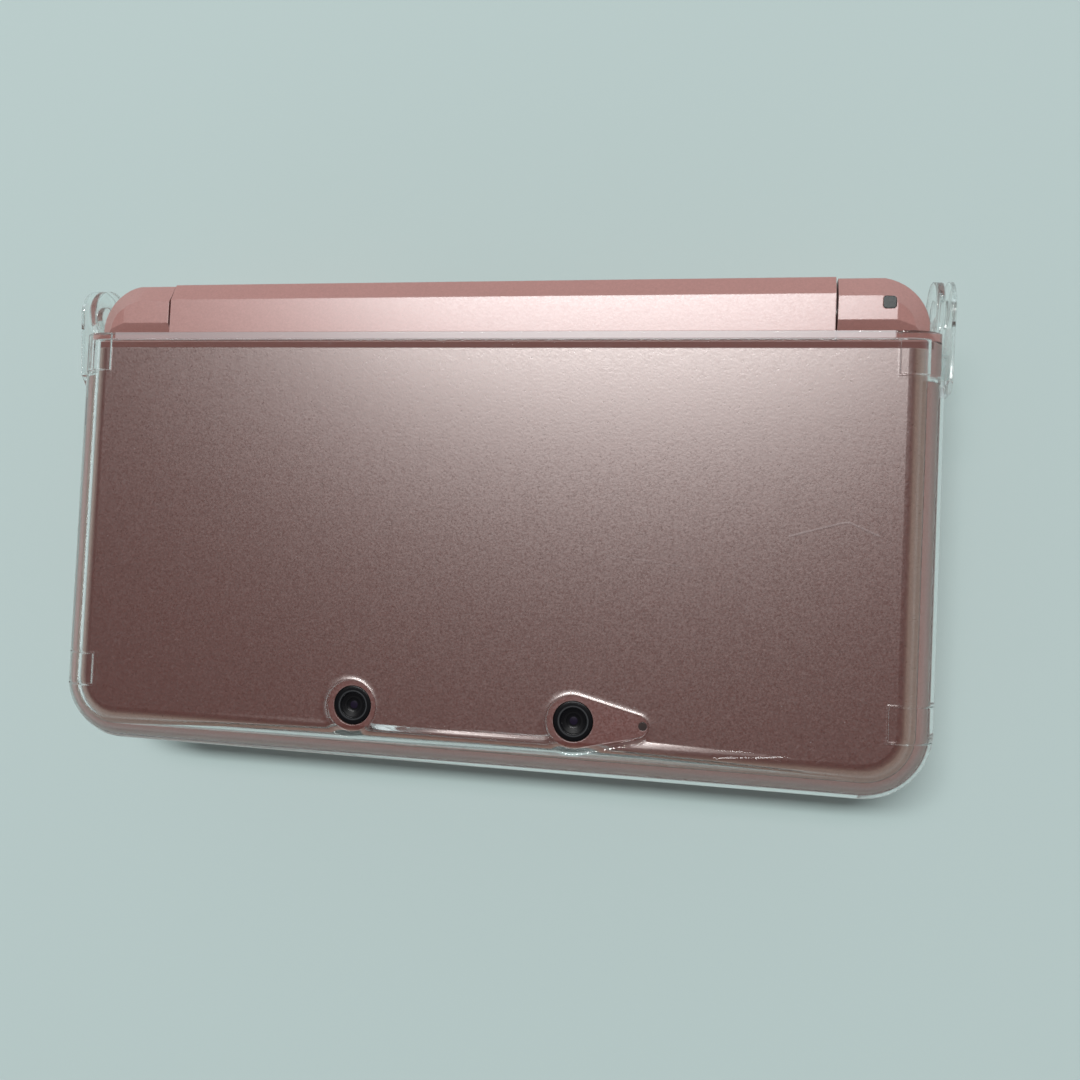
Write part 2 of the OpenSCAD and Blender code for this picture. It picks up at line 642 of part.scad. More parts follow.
module base_lower_housing() color(pink) {
    difference() {
        union() {
            difference() {
                base_form(base_z, split_z);
                base_hollow(floor_z, split_z + 1);
                slab(0, low_y, base_z - 1, base_z + cover_t + 0.05, cover_w + 0.3, cover_d + 0.3, 3.1);
            }
            for (p = base_posts) rod_z(p.x, p.y, floor_z - 0.2, board_z, 4.4);
            both_sides() rod_z(sh_pin_x, sh_pin_y, floor_z - 0.2, sh_z - fit, 3);
        }
        shoulder_room(0);
        for (p = base_posts) rod_z(p.x, p.y, base_z - 1, board_z - 1, 1.5);
        block(bat_x - 0.3, bat_x + bat_w + 0.3, bat_y - 0.3, bat_y + bat_l + 0.3, base_z, floor_z + 1);
        block(-slot_w / 2, slot_w / 2, back - 4, back + 1, floor_z + 0.4, floor_z + 0.4 + slot_h);
        rod_y(stylus_x, back - 4, back + 1, port_z, stylus_d + 2 * 0.12);
        block(inlet_x - 4.6, inlet_x + 4.6, back - 4, back + 1, port_z - 2.2, port_z + 2.2);
        slab2y(window_x, back - 4, back + 1, port_z, 6.3, 4.1);
        rod_y(0, front - 1, front + 4, jack_z, jack_d + 1 + 2 * snug);
        for (x = [40, 45]) block(x - 1.3, x + 1.3, front - 1, front + 4, port_z - 0.6, port_z + 0.6);
        block(-side - 1, -side + 4, sd_y - sd_w / 2 - 1.4, sd_y + sd_w / 2 + 1, sd_z - 0.3, sd_z + sd_t + 1.5);
        block(side - 4, side + 1, radio_y - 3, radio_y + 3, port_z - 0.9, port_z + 0.9);
        both_sides() rod_z(sh_pin_x, sh_pin_y, floor_z - 0.2, split_z, 1.5);
    }
    for (k = [-1, 1]) block(stylus_x + k * 3.2 - 0.5, stylus_x + k * 3.2 + 0.5, -12, back - 4, floor_z - 0.2, port_z);
    block(stylus_x - 3.7, stylus_x + 3.7, back - stylus_l - 2, back - stylus_l - 0.5, floor_z - 0.2, port_z + 1.5);
}
module slab2y(x, y0, y1, z, w, h) {
    translate([x, y1, z]) rotate([90, 0, 0]) linear_extrude(y1 - y0) pad2(w, h, 0.8);
}
module back_cover() color(pink) {
    difference() {
        slab(0, low_y, base_z, base_z + cover_t, cover_w, cover_d, 3);
        for (p = base_posts) {
            rod_z(p.x, p.y, base_z - 1, base_z + 0.7, 3.4);
            rod_z(p.x, p.y, base_z, base_z + 3, 1.7);
        }
    }
}
module back_cover_screws() color("silver") {
    for (p = base_posts) {
        rod_z(p.x, p.y, base_z + 0.15, base_z + 0.68, 3.1);
        rod_z(p.x, p.y, base_z + 0.68, base_z + 4, 1.4);
    }
}
module touch_panel() color(dark) slab(0, low_y, base_top - 1.15, base_top - 0.1, low_w + 5.4, low_h + 3.7, 0.9);
module lower_screen_module() color([0.6, 0.62, 0.65]) {
    block(-low_w / 2 - 2.6, low_w / 2 + 2.6, low_y - low_h / 2 - 1.6, low_y + low_h / 2 + 1.6, board_top + 0.2, face_z);
}
module main_board() color([0.15, 0.4, 0.3]) {
    y1 = channel_y - wall - 0.8;
    x1 = in_side - 2.6;
    difference() {
        union() {
            translate([0, 0, board_z]) linear_extrude(board_t) polygon([
                [-x1, front + 4], [x1, front + 4], [x1, back - 16], [x1 - 11, back - 16], [x1 - 11, y1], [-36, y1],
                [-36, -3], [-x1, -3]
            ]);
            rod_z(-side_x, cross_y, board_top - 0.1, board_top + 0.6, 3.4);
        }
        translate([-side_x, cross_y, ball_z]) sphere(d = ball_d + 2 * run);
    }
    block(-14, 12, -14, 8, board_top, board_top + 0.1);
    block(36, 40, front + 12, front + 24, board_top, board_top + 1);
    block(-16, -4, front + 16, front + 30, board_z - 1.4, board_z);
}
module battery() color([0.3, 0.32, 0.36]) {
    block(bat_x, bat_x + bat_w, bat_y, bat_y + bat_l, base_z + cover_t + 0.1, board_z - 0.2);
}
module card_slot_cage() color("silver") {
    y1 = back - wall - 0.1;
    difference() {
        block(-slot_w / 2 - 0.4, slot_w / 2 + 0.4, y1 - slot_l, y1, floor_z, floor_z + slot_h + 0.8);
        block(-slot_w / 2, slot_w / 2, y1 - slot_l + 0.8, y1 + 1, floor_z + 0.4, floor_z + 0.4 + slot_h);
    }
}
module memory_slot_cage() color("silver") {
    difference() {
        block(sd_x, sd_x + 33, sd_y - sd_w / 2 - 0.6, sd_y + sd_w / 2 + 0.6, floor_z, sd_z + sd_t + 0.9);
        block(sd_x - 1, sd_x + 32.4, sd_y - sd_w / 2 - 0.2, sd_y + sd_w / 2 + 0.2, sd_z - 0.1, sd_z + sd_t + 0.3);
    }
}
module memory_card() color([0.12, 0.16, 0.35]) {
    l = 30;
    translate([sd_x + 0.2, sd_y, sd_z + 0.05]) linear_extrude(sd_t) polygon([
        [0, -sd_w / 2], [l - 4, -sd_w / 2], [l, 4 - sd_w / 2], [l, sd_w / 2], [0, sd_w / 2]
    ]);
}
module memory_door() color(pink) {
    z0 = sd_z - 0.1;
    z1 = sd_z + sd_t + 1.3;
    block(-side, -side + 1.1, sd_y - sd_w / 2 - 0.2, sd_y + sd_w / 2 + 0.8, z0, z1);
    rod_z(-side + 0.55, sd_y - sd_w / 2 - 0.4, z0, z1, 1.1);
}
module radio_board() color([0.15, 0.3, 0.45]) {
    x1 = in_side - 5.6;
    block(x1 - 24, x1, 3, 20, floor_z, floor_z + 0.8);
    block(x1 - 21, x1 - 4, 5, 18, floor_z + 0.8, floor_z + 2.6);
}
module slide_pad_tray() color(dark) {
    z0 = face_z - 4.4;
    difference() {
        block(-side_x - 10, -side_x + 10, pad_y - 10, pad_y + 10, z0, face_z - 1.7);
        block(-side_x - 9, -side_x + 9, pad_y - 9, pad_y + 9, z0 + 0.8, face_z);
    }
    for (x = [-8.5, 8.5], y = [-8.5, 8.5]) rod_z(-side_x + x, pad_y + y, floor_z, z0, 2.4);
}
module slide_pad_carriage() color([0.5, 0.5, 0.52]) {
    z0 = face_z - 3.45;
    block(-side_x - 6, -side_x + 6, pad_y - 8.8, pad_y + 8.8, z0, z0 + 0.6);
    for (s = [-1, 1]) block(-side_x + s * 3.3 - 0.5, -side_x + s * 3.3 + 0.5, pad_y - 8.8, pad_y + 8.8, z0 + 0.6, z0 + 1.5);
}
module slide_pad_cap() color([0.62, 0.6, 0.6]) {
    z0 = face_z - 0.35;
    translate([-side_x, pad_y, 0]) rotate_extrude() {
        difference() {
            translate([0, z0]) square([pad_d / 2, 1.75]);
            translate([0, z0 + 1.75 + 16]) circle(r = 16.5, $fn = 180);
        }
        translate([0, face_z - 2.5]) square([2.2, 2.3]);
    }
    block(-side_x - 2.5, -side_x + 2.5, pad_y - 3, pad_y + 3, face_z - 2.75, face_z - 1.9);
}
module direction_pivot() color([0.5, 0.5, 0.52]) translate([-side_x, cross_y, ball_z]) sphere(d = ball_d);
module direction_cross() color([0.62, 0.6, 0.6]) translate([-side_x, cross_y, 0]) difference() {
    union() {
        translate([0, 0, ball_z]) cylinder(d = 4.4, h = 1);
        translate([0, 0, board_top + 1.1]) cylinder(d = cross_w - 2.4, h = 0.5);
        translate([0, 0, board_top + 1.5]) linear_extrude(base_top + 0.3 - board_top - 1.5) cross2(cross_w, cross_arm);
    }
    translate([0, 0, ball_z]) sphere(d = ball_d + 2 * run);
    translate([0, 0, board_top]) cylinder(d = ball_d + 0.5, h = ball_z - board_top);
}
module face_button(k) color([0.62, 0.6, 0.6]) {
    p = btn_spots[k];
    translate([side_x + p.x, btn_y + p.y, 0]) rotate_extrude() {
        translate([0, face_z - 1.2]) square([btn_d / 2 + 0.6, 0.8]);
        translate([0, face_z - 1]) square([btn_d / 2, base_top + 0.1 - face_z + 1]);
        translate([0, face_z]) square([btn_d / 2 - 0.5, base_top + 0.6 - face_z]);
        translate([btn_d / 2 - 0.5, base_top + 0.1]) circle(0.5);
    }
}
module button_north() face_button(0);
module button_south() face_button(1);
module button_east() face_button(2);
module button_west() face_button(3);
module menu_key(k) color([0.62, 0.6, 0.6]) {
    slab(k * key_pitch, key_y, face_z - 1, base_top + 0.2, key_w, key_d, 0.8);
    slab(k * key_pitch, key_y, face_z - 1.1, face_z - 0.3, key_w + 1.1, key_d + 1.1, 0.8);
}
module menu_key_left() menu_key(-1);
module menu_key_middle() menu_key(0);
module menu_key_right() menu_key(1);
module power_key() color([0.62, 0.6, 0.6]) {
    slab(side_x, power_y, face_z - 1, base_top + 0.2, 9, 5, 2.3);
    slab(side_x, power_y, face_z - 1.1, face_z - 0.3, 10.2, 6.2, 2.8);
}
module button_sheets() color([0.4, 0.38, 0.38]) {
    difference() {
        slab(side_x, btn_y, board_top, board_top + 0.35, 23.6, 23.6, 3);
        rod_z(side_x, btn_y, board_top - 1, board_top + 1, 4);
    }
    slab(0, key_y, board_top, board_top + 0.35, 3 * key_pitch, key_d, 1);
    slab(side_x, power_y, board_top, board_top + 0.35, 9, 5, 2);
    difference() {
        rod_z(-side_x, cross_y, board_top, board_top + 0.35, cross_w);
        rod_z(-side_x, cross_y, board_top - 1, board_top + 1, 5);
    }
}
module headphone_socket() color(dark) {
    difference() {
        union() {
            block(-3.4, 3.4, front + wall + 0.1, front + jack_l + 0.8, floor_z, board_z - 0.1);
            rod_y(0, front, front + wall + 0.2, jack_z, jack_d + 1);
        }
        rod_y(0, front - 1, front + jack_l, jack_z, jack_d);
    }
}
module power_inlet() color(dark) {
    y1 = back - 0.4;
    difference() {
        block(inlet_x - 4.4, inlet_x + 4.4, y1 - 9, y1, port_z - 2, port_z + 2);
        block(inlet_x - 3.8, inlet_x + 3.8, y1 - 8, y1 + 1, port_z - 1.4, port_z + 1.4);
    }
    block(inlet_x - 2.6, inlet_x + 2.6, y1 - 8.5, y1 - 2, port_z - 0.4, port_z + 0.4);
    block(inlet_x - 4, inlet_x + 4, y1 - 9, y1 - 3, floor_z, port_z - 1.9);
}
module infrared_window() color([0.2, 0.05, 0.08]) slab2y(window_x, back - wall - 0.6, back - 0.05, port_z, 6.2, 4);
module notification_light() color([0.2, 0.24, 0.23]) {
    slab(note_x, note_y, axis_z + 1.85, axis_z + barrel_d / 2, note_w, note_w, 0.45);
}
module charge_lights() color([0.8, 0.85, 0.8]) {
    for (x = [40, 45]) block(x - 1.2, x + 1.2, front, front + 2.4, port_z - 0.5, port_z + 0.5);
}
module shoulder_pins() color("silver") {
    both_sides() rod_z(sh_pin_x, sh_pin_y, floor_z - 0.15, channel_z, 1.4);
}
module shoulder() color([0.62, 0.6, 0.6]) {
    difference() {
        intersection() {
            sweep_o(con_w - 0.1, front, back - 0.05, corner_r, base_z, base_top)
                sloped(corner_r, base_z, base_top, 0.5);
            block(sh_x, side, sh_y, back, sh_z, sh_z + shoulder_h);
        }
        block(sh_x - 1, side - corner_r + 1, sh_y - 1, back - 5.6, 0, 40);
        rod_z(sh_pin_x, sh_pin_y, 0, 40, 1.4 + 2 * run);
        slab(side - corner_r + 1, sh_y, sh_z + 1, sh_z + shoulder_h - 1, 8, 8, 1);
    }
}
module shoulder_right() shoulder();
module shoulder_left() mirror([1, 0, 0]) shoulder();
module volume_knob() color([0.5, 0.5, 0.52]) {
    block(-side - 0.5, -in_side + 0.4, vol_y - 2.4, vol_y + 2.4, vol_z - 0.8, vol_z + 0.8);
    block(-in_side + 0.3, -in_side + 1.6, vol_y - 3.6, vol_y + 3.6, vol_z - 1.3, vol_z + 1.3);
}
module radio_knob() color([0.5, 0.5, 0.52]) {
    block(in_side - 0.4, side + 0.35, radio_y - 2.6, radio_y + 0.6, port_z - 0.65, port_z + 0.65);
    block(in_side - 1.6, in_side - 0.3, radio_y - 4.4, radio_y + 2.4, port_z - 1.4, port_z + 1.4);
}
module stylus_sleeve() color([0.3, 0.3, 0.32]) {
    difference() {
        union() {
            rod_y(stylus_x, back - stylus_l + 12, back - 2.4, port_z, stylus_d);
            rod_y(stylus_x, back - 2.4, back, port_z, stylus_d + 0.1);
        }
        rod_y(stylus_x, back - stylus_l, back - 6, port_z, 2.8);
    }
}
module stylus_rod() color([0.7, 0.7, 0.72]) {
    translate([stylus_x, back - stylus_l, port_z]) rotate([-90, 0, 0]) rotate_extrude() {
        polygon([[0, 0], [0.5, 0], [1.3, 2.6], [1.3, stylus_l - 6.4], [0, stylus_l - 6.4]]);
    }
}

lid_outer_shell();
lid_top_plate();
lid_inner_bezel();
upper_screen_window();
upper_screen_module();
outer_camera_module();
outer_lens_covers();
camera_light_guide();
inner_camera();
speaker_modules();
depth_slider_board();
depth_slider_knob();
lid_rubber_pads();
lid_screws();
hinge_clutch();
hinge_bush();
lid_ribbon();
case_lid_cover();
base_upper_housing();
base_lower_housing();
back_cover();
back_cover_screws();
touch_panel();
lower_screen_module();
main_board();
battery();
card_slot_cage();
memory_slot_cage();
radio_board();
slide_pad_tray();
button_sheets();
headphone_socket();
power_inlet();
infrared_window();
notification_light();
charge_lights();
hinge_shaft();
hinge_tube();
shoulder_pins();
case_base_cover();
slide_pad_carriage();
slide_pad_cap();
direction_pivot();
direction_cross();
button_north();
button_south();
button_east();
button_west();
menu_key_left();
menu_key_middle();
menu_key_right();
power_key();
shoulder_left();
shoulder_right();
volume_knob();
radio_knob();
memory_door();
memory_card();
stylus_sleeve();
stylus_rod();
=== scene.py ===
"""Finishes, light and camera for the clamshell handheld console in its clip-on clear case."""

import math

import bmesh
import bpy
import numpy as np
from mathutils import Matrix, Vector


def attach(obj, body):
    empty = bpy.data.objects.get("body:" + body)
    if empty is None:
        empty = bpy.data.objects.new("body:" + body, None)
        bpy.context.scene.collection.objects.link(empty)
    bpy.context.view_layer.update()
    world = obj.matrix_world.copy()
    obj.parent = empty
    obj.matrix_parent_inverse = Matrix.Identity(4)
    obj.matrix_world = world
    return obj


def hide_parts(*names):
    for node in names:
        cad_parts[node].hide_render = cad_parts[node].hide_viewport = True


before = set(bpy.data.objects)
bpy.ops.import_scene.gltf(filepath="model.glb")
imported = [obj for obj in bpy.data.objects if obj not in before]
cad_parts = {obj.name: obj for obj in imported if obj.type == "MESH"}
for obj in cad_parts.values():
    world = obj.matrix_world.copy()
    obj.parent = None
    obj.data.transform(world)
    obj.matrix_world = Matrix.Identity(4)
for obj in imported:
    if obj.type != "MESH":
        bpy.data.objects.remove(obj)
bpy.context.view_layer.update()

MM = 0.001

# camera: frame and focal length in pixels, place in millimetres, and the rows right, up and towards the eye
FRAME_PIXELS, FOCAL_PIXELS = 1080, 1000
EYE = (40.705, -8.514, 171.176)
RIGHT = (0.980282, 0.0449667, -0.1924192)
UP = (-0.0378774, 0.9984668, 0.0403662)
BACK = (0.1939393, -0.032282, 0.9804823)

# heights and places on the object, in millimetres
LID_TOP = 22.2
LENS_X, LENS_Y = 17.5, -30.6
LENS_RADIUS = 3.0
CASE_HALF_WIDTH, CASE_HALF_DEPTH = 67.0, 37.0
GROOVE_Y = (25.86, 26.93)
GROOVE_BOTTOM = 20.5
EARS_FROM_Y = 21.2
LIP_HIGHLIGHT_HALF_WIDTH = 61.6


# ---- stage ----
def camera():
    data = bpy.data.cameras.new("camera")
    data.sensor_width = 36
    data.lens = FOCAL_PIXELS / FRAME_PIXELS * data.sensor_width
    data.clip_start = 0.01
    cam = bpy.data.objects.new("camera", data)
    bpy.context.scene.collection.objects.link(cam)
    turn = Matrix((RIGHT, UP, BACK)).transposed().to_4x4()
    cam.matrix_world = Matrix.Translation(Vector(EYE) * MM) @ turn
    bpy.context.scene.camera = cam


def lamp(name, sin_x, sin_y, distance, size, power):
    """A soft box in the direction (sin_x, sin_y) from straight up, facing the object."""
    data = bpy.data.lights.new(name, "AREA")
    data.shape = "RECTANGLE"
    data.size, data.size_y = size
    data.energy = power
    o = bpy.data.objects.new(name, data)
    bpy.context.scene.collection.objects.link(o)
    d = Vector((sin_x, sin_y, math.sqrt(1 - sin_x**2 - sin_y**2)))
    across = (Vector((1, 0, 0)) - d * d.x).normalized()
    turn = Matrix((across, d.cross(across), d)).transposed().to_4x4()
    o.matrix_world = Matrix.Translation(d * distance) @ turn
    return o


# ---- shader maths ----
class Value:
    """A number that changes over a surface. Arithmetic on it adds Math nodes."""

    def __init__(self, look, socket):
        self.look, self.socket = look, socket

    def op(self, operation, *others, **settings):
        values = dict(enumerate((self, *others)))
        return self.look.node("ShaderNodeMath", {"operation": operation, **settings}, values)

    def __add__(self, o):
        return self.op("ADD", o)

    def __sub__(self, o):
        return self.op("SUBTRACT", o)

    def __mul__(self, o):
        return self.op("MULTIPLY", o)

    def __truediv__(self, o):
        return self.op("DIVIDE", o)

    def __neg__(self):
        return self.op("MULTIPLY", -1)

    __radd__, __rmul__ = __add__, __mul__

    def __rsub__(self, o):
        return -self + o

    def abs(self):
        return self.op("ABSOLUTE")

    def at_most(self, o):
        return self.op("MINIMUM", o)

    def at_least(self, o):
        return self.op("MAXIMUM", o)

    def clip(self):
        return self.op("MULTIPLY", 1, use_clamp=True)

    def root(self):
        return self.op("SQRT")

    def band(self, low, high):
        """0 at low and 1 at high, with a soft start and end. Low may be the larger."""
        t = ((self - low) / (high - low)).clip()
        return t * t * (3 - 2 * t)


class Look:
    """One material: a Principled shader and the patterns that feed it."""

    def __init__(self, name, **constants):
        self.material = bpy.data.materials.new(name)
        self.material.use_nodes = True
        self.tree = self.material.node_tree
        self.shader = self.tree.nodes["Principled BSDF"]
        self.out = self.tree.nodes["Material Output"]
        self.kept = {}
        for k, v in constants.items():
            value = (*v, 1) if isinstance(v, tuple) else v
            self.shader.inputs[k.replace("_", " ")].default_value = value

    def node(self, kind, settings=None, values=None, out=0, raw=False):
        """A node of that type: its settings are set first, then its sockets' values or links."""
        n = self.tree.nodes.new(kind)
        for k, v in (settings or {}).items():
            if k == "stops":
                ramp = n.color_ramp
                while len(ramp.elements) < len(v):
                    ramp.elements.new(0.5)
                for e, (at, colour) in zip(ramp.elements, v):
                    e.position, e.color = at, (*colour, 1)
            else:
                setattr(n, k, v)
        for k, v in (values or {}).items():
            if isinstance(v, Value):
                self.tree.links.new(v.socket, n.inputs[k])
            else:
                n.inputs[k].default_value = v
        return n if raw else Value(self, n.outputs[out])

    def feed(self, name, value):
        self.tree.links.new(value.socket, self.shader.inputs[name])

    def place(self):
        """Object coordinates, in metres."""
        if "place" not in self.kept:
            self.kept["place"] = self.node("ShaderNodeTexCoord", out="Object")
        return self.kept["place"]

    def xyz(self):
        """The three object coordinates in millimetres."""
        if "xyz" not in self.kept:
            n = self.node("ShaderNodeSeparateXYZ", values={0: self.place()}, raw=True)
            self.kept["xyz"] = [Value(self, s) / MM for s in n.outputs]
        return self.kept["xyz"]

    def stretched(self, turn, size):
        """Object coordinates turned by those degrees about Z, with a cell of that size in millimetres."""
        return self.node(
            "ShaderNodeMapping",
            {"vector_type": "TEXTURE"},
            {0: self.place(), "Rotation": (0, 0, math.radians(turn)), "Scale": [s * MM for s in size]},
        )

    def noise(self, size, detail=2.0, roughness=0.5, at=None):
        """Noise about 0.5, with features of that size in millimetres."""
        values = {"Vector": at or self.place(), "Scale": 1 if at else 1 / (size * MM)}
        values |= {"Detail": detail, "Roughness": roughness}
        return self.node("ShaderNodeTexNoise", values=values)

    def cells(self, size, out="Color"):
        """Scattered cells that many millimetres across: their own colours, or the distance in cells."""
        values = {"Vector": self.place(), "Scale": 1 / (size * MM)}
        return self.node("ShaderNodeTexVoronoi", values=values, out=out)

    def mix(self, factor, a, b, blend="MIX"):
        """A colour between a and b."""
        first, second = (c if isinstance(c, Value) else (*c, 1) for c in (a, b))
        values = {0: factor, 6: first, 7: second}
        n = self.node("ShaderNodeMix", {"data_type": "RGBA", "blend_type": blend}, values, raw=True)
        return Value(self, n.outputs[2])

    def soft_edges(self, radius):
        """The normal rounded over edges by that many millimetres."""
        return self.node("ShaderNodeBevel", {"samples": 4}, {"Radius": radius * MM})

    def edge(self, radius):
        """1 near edges and 0 on the faces."""
        face = self.node("ShaderNodeNewGeometry", out="Normal")
        both = {0: self.soft_edges(radius), 1: face}
        dot = self.node("ShaderNodeVectorMath", {"operation": "DOT_PRODUCT"}, both, out="Value")
        return dot.band(0.995, 0.8)

    def relief(self, height, depth, normal=None, strength=1.0):
        """Feeds Normal with a surface whose height of 1 stands that many millimetres proud."""
        values = {"Height": height, "Distance": depth * MM, "Strength": strength}
        if normal is not None:
            values["Normal"] = normal
        self.feed("Normal", self.node("ShaderNodeBump", values=values))

    def wrap(self, shader_socket):
        """Shows that shader in place of the Principled one."""
        self.tree.links.new(shader_socket, self.out.inputs["Surface"])


# ---- finishes ----
def speckle(look, size, spread):
    """Flakes: each cell of that size has its own shade, spread about 1."""
    grain = look.node("ShaderNodeSeparateColor", values={0: look.cells(size)})
    return 1 + (grain - 0.5) * (2 * spread)


def scaled(look, colour, factor):
    """A colour times a value."""
    grey = look.node("ShaderNodeCombineColor", values={0: factor, 1: factor, 2: factor})
    return look.mix(1.0, colour, grey, "MULTIPLY")


def pearl(name, colour, worn, rough, ior, rim=None, groove=None, tint=(1.0, 1.0, 1.0), grit=1.0):
    """Lacquer with fine mica: mottled shade, per-flake glitter, orange peel and paler worn edges.

    rim is (height, colour): below that height in millimetres the lacquer turns to that colour, a painted
    reflection of the bright surroundings on the rolled edges.
    groove is (front y, rear y, lowest z, colour): a dull strip across the part, painted that dark colour as
    painted shade where the groove lies in shadow.
    grit scales the mottling, the glitter and the orange peel.
    """
    k = Look(name, IOR=ior)
    cloud = k.noise(9.0, 3.0)
    mottle = k.noise(0.42, 2.0, 0.5)
    shade = speckle(k, 0.2, 0.10 * grit) * (1 + (mottle - 0.5) * (0.32 * grit)) * (0.96 + cloud * 0.08)
    edge = k.edge(0.35) * k.noise(1.5, 4.0, 0.7).band(0.42, 0.62)
    body = colour
    # painted reflection: below the rim height the lacquer is painted a paler tan, standing in for what the
    # rolled edges reflect
    if rim:
        body = k.mix(k.xyz()[2].band(rim[0], rim[0] - 0.22), colour, rim[1])
    painted = k.mix(edge * 0.55, scaled(k, body, shade), worn)
    # painted shade: the groove strip is painted dark and dull, standing in for the shadow in the groove
    groove_shade = 0.0
    if groove:
        y, z = k.xyz()[1:]
        front, rear, lowest, groove_shade_colour = groove
        across = (y - front).band(-0.06, 0.06) * (y - rear).band(0.06, -0.06)
        groove_shade = across * z.band(lowest, lowest + 0.1)
        painted = k.mix(groove_shade, painted, groove_shade_colour)
    k.feed("Base Color", painted)
    k.shader.inputs["Specular Tint"].default_value = (*tint, 1)
    flake = k.node("ShaderNodeSeparateColor", values={0: k.cells(0.2)}, out=1)
    sparkle = (mottle - 0.5) * (0.12 * grit) + (flake - 0.5) * (0.09 * grit)
    k.feed("Roughness", rough + sparkle + edge * 0.12 + groove_shade * 0.5)
    peel = mottle * 0.7 + k.noise(0.16, 1.0) * 0.3
    k.relief(peel, 0.010 * grit, k.soft_edges(0.2))
    return k.material


def moulded(name, colour, rough=0.42, grain=0.16, depth=0.006, edge_size=0.2, worn=None, spread=0.05):
    """Moulded plastic: spark-eroded grain, faint flow clouds, rubbed edges."""
    k = Look(name)
    grainy = k.noise(grain, 3.0, 0.65)
    cloud = k.noise(6.0, 3.0)
    shade = (1 - spread + cloud * 2 * spread) * (0.97 + grainy * 0.06)
    edge = k.edge(edge_size * 1.6)
    worn = worn or tuple(min(1, c * 1.35 + 0.02) for c in colour)
    k.feed("Base Color", k.mix(edge * 0.4, scaled(k, colour, shade), worn))
    k.feed("Roughness", rough + (grainy - 0.5) * 0.14 - edge * 0.08 + (cloud - 0.5) * 0.06)
    k.relief(grainy, depth, k.soft_edges(edge_size))
    return k.material


def sheet_metal(name, colour, rough, turn=0, brushed=True):
    """Metal with fine drawn lines along one way, a few blotches and bright edges."""
    k = Look(name, Metallic=1.0)
    lines = k.noise(1, 2.0, 0.6, at=k.stretched(turn, (4.0, 0.05, 0.05))) if brushed else k.noise(0.2, 3.0)
    blotch = k.noise(3.0, 4.0, 0.6)
    k.feed("Base Color", scaled(k, colour, 0.86 + lines * 0.2 + (blotch - 0.5) * 0.12))
    k.feed("Roughness", rough + (lines - 0.5) * 0.16 + (blotch - 0.5) * 0.14)
    k.relief(lines, 0.003, k.soft_edges(0.12))
    return k.material


def box_mask(look, x0, x1, y0, y1, soft=0.15):
    """1 inside that rectangle of the plan, in millimetres, with a soft border."""
    x, y, _ = look.xyz()
    across = (x - x0).band(-soft, soft) * (x - x1).band(soft, -soft)
    return across * (y - y0).band(-soft, soft) * (y - y1).band(soft, -soft)


def panel(name, picture, glass=(0.006, 0.006, 0.007), lit=(0.020, 0.022, 0.024)):
    """Black glass over a picture area that is switched off, with faint smears and dust."""
    k = Look(name, Coat_Weight=1.0, Coat_Roughness=0.04, IOR=1.5)
    area = box_mask(k, *picture)
    smear = k.noise(1, 3.0, 0.6, at=k.stretched(28, (14.0, 3.0, 3.0)))
    dust = k.cells(1.7, out="Distance").band(0.06, 0.03) * k.noise(5.0, 2.0).band(0.5, 0.65)
    k.feed("Base Color", k.mix(dust * 0.5, k.mix(area, glass, lit), (0.4, 0.4, 0.38)))
    k.feed("Roughness", 0.10 + smear * 0.14 + dust * 0.4)
    k.relief(k.noise(30.0, 1.0), 0.0006, k.soft_edges(0.15))
    return k.material


def circuit(name):
    """Solder mask over copper: lighter tracks in a grid of short runs, gold pads, small vias."""
    k = Look(name, Coat_Weight=0.6, Coat_Roughness=0.12)
    track = k.node(
        "ShaderNodeTexBrick",
        {"offset": 0.37, "squash": 1.0},
        {
            "Vector": k.place(),
            "Color1": (1, 1, 1, 1),
            "Color2": (1, 1, 1, 1),
            "Mortar": (0, 0, 0, 1),
            "Scale": 1 / MM,
            "Mortar Size": 0.16,
            "Brick Width": 3.1,
            "Row Height": 0.9,
        },
        out="Fac",
    )
    spots = k.cells(1.9, out="Distance")
    pad = spots.band(0.16, 0.12)
    via = spots.band(0.07, 0.05)
    base = k.mix(track * 0.5, (0.010, 0.085, 0.045), (0.03, 0.20, 0.10))
    k.feed("Base Color", k.mix(via, k.mix(pad, base, (0.80, 0.55, 0.22)), (0.01, 0.01, 0.01)))
    k.feed("Metallic", pad * 0.9)
    k.feed("Roughness", 0.32 + k.noise(0.5, 3.0) * 0.2)
    k.relief(track * 0.3 + pad * 0.7, 0.03, k.soft_edges(0.1))
    return k.material


def wrapped(name):
    """A battery's sleeve: satin film with a lengthwise seam and faint wrinkles."""
    k = Look(name, Coat_Weight=0.3, Coat_Roughness=0.25)
    seam = (k.xyz()[0] - 40.0).abs().band(0.35, 0.2)
    wrinkle = k.noise(1, 3.0, 0.6, at=k.stretched(8, (10.0, 1.6, 1.6)))
    film = scaled(k, (0.075, 0.08, 0.095), 0.9 + wrinkle * 0.2)
    k.feed("Base Color", k.mix(seam, film, (0.03, 0.03, 0.035)))
    k.feed("Roughness", 0.38 + wrinkle * 0.15)
    k.relief(wrinkle + seam * 0.8, 0.05, k.soft_edges(0.4))
    return k.material


def foil(name):
    """Amber film over copper tracks that run along the ribbon."""
    k = Look(name, Coat_Weight=0.5, Coat_Roughness=0.15)
    x = k.xyz()[0]
    lane = (x / 0.55).op("FRACT").band(0.42, 0.5)
    k.feed("Base Color", k.mix(lane, (0.42, 0.17, 0.03), (0.72, 0.36, 0.12)))
    k.feed("Metallic", lane * 0.7)
    k.feed("Roughness", 0.30 + k.noise(0.6, 3.0) * 0.15)
    k.relief(lane, 0.02)
    return k.material


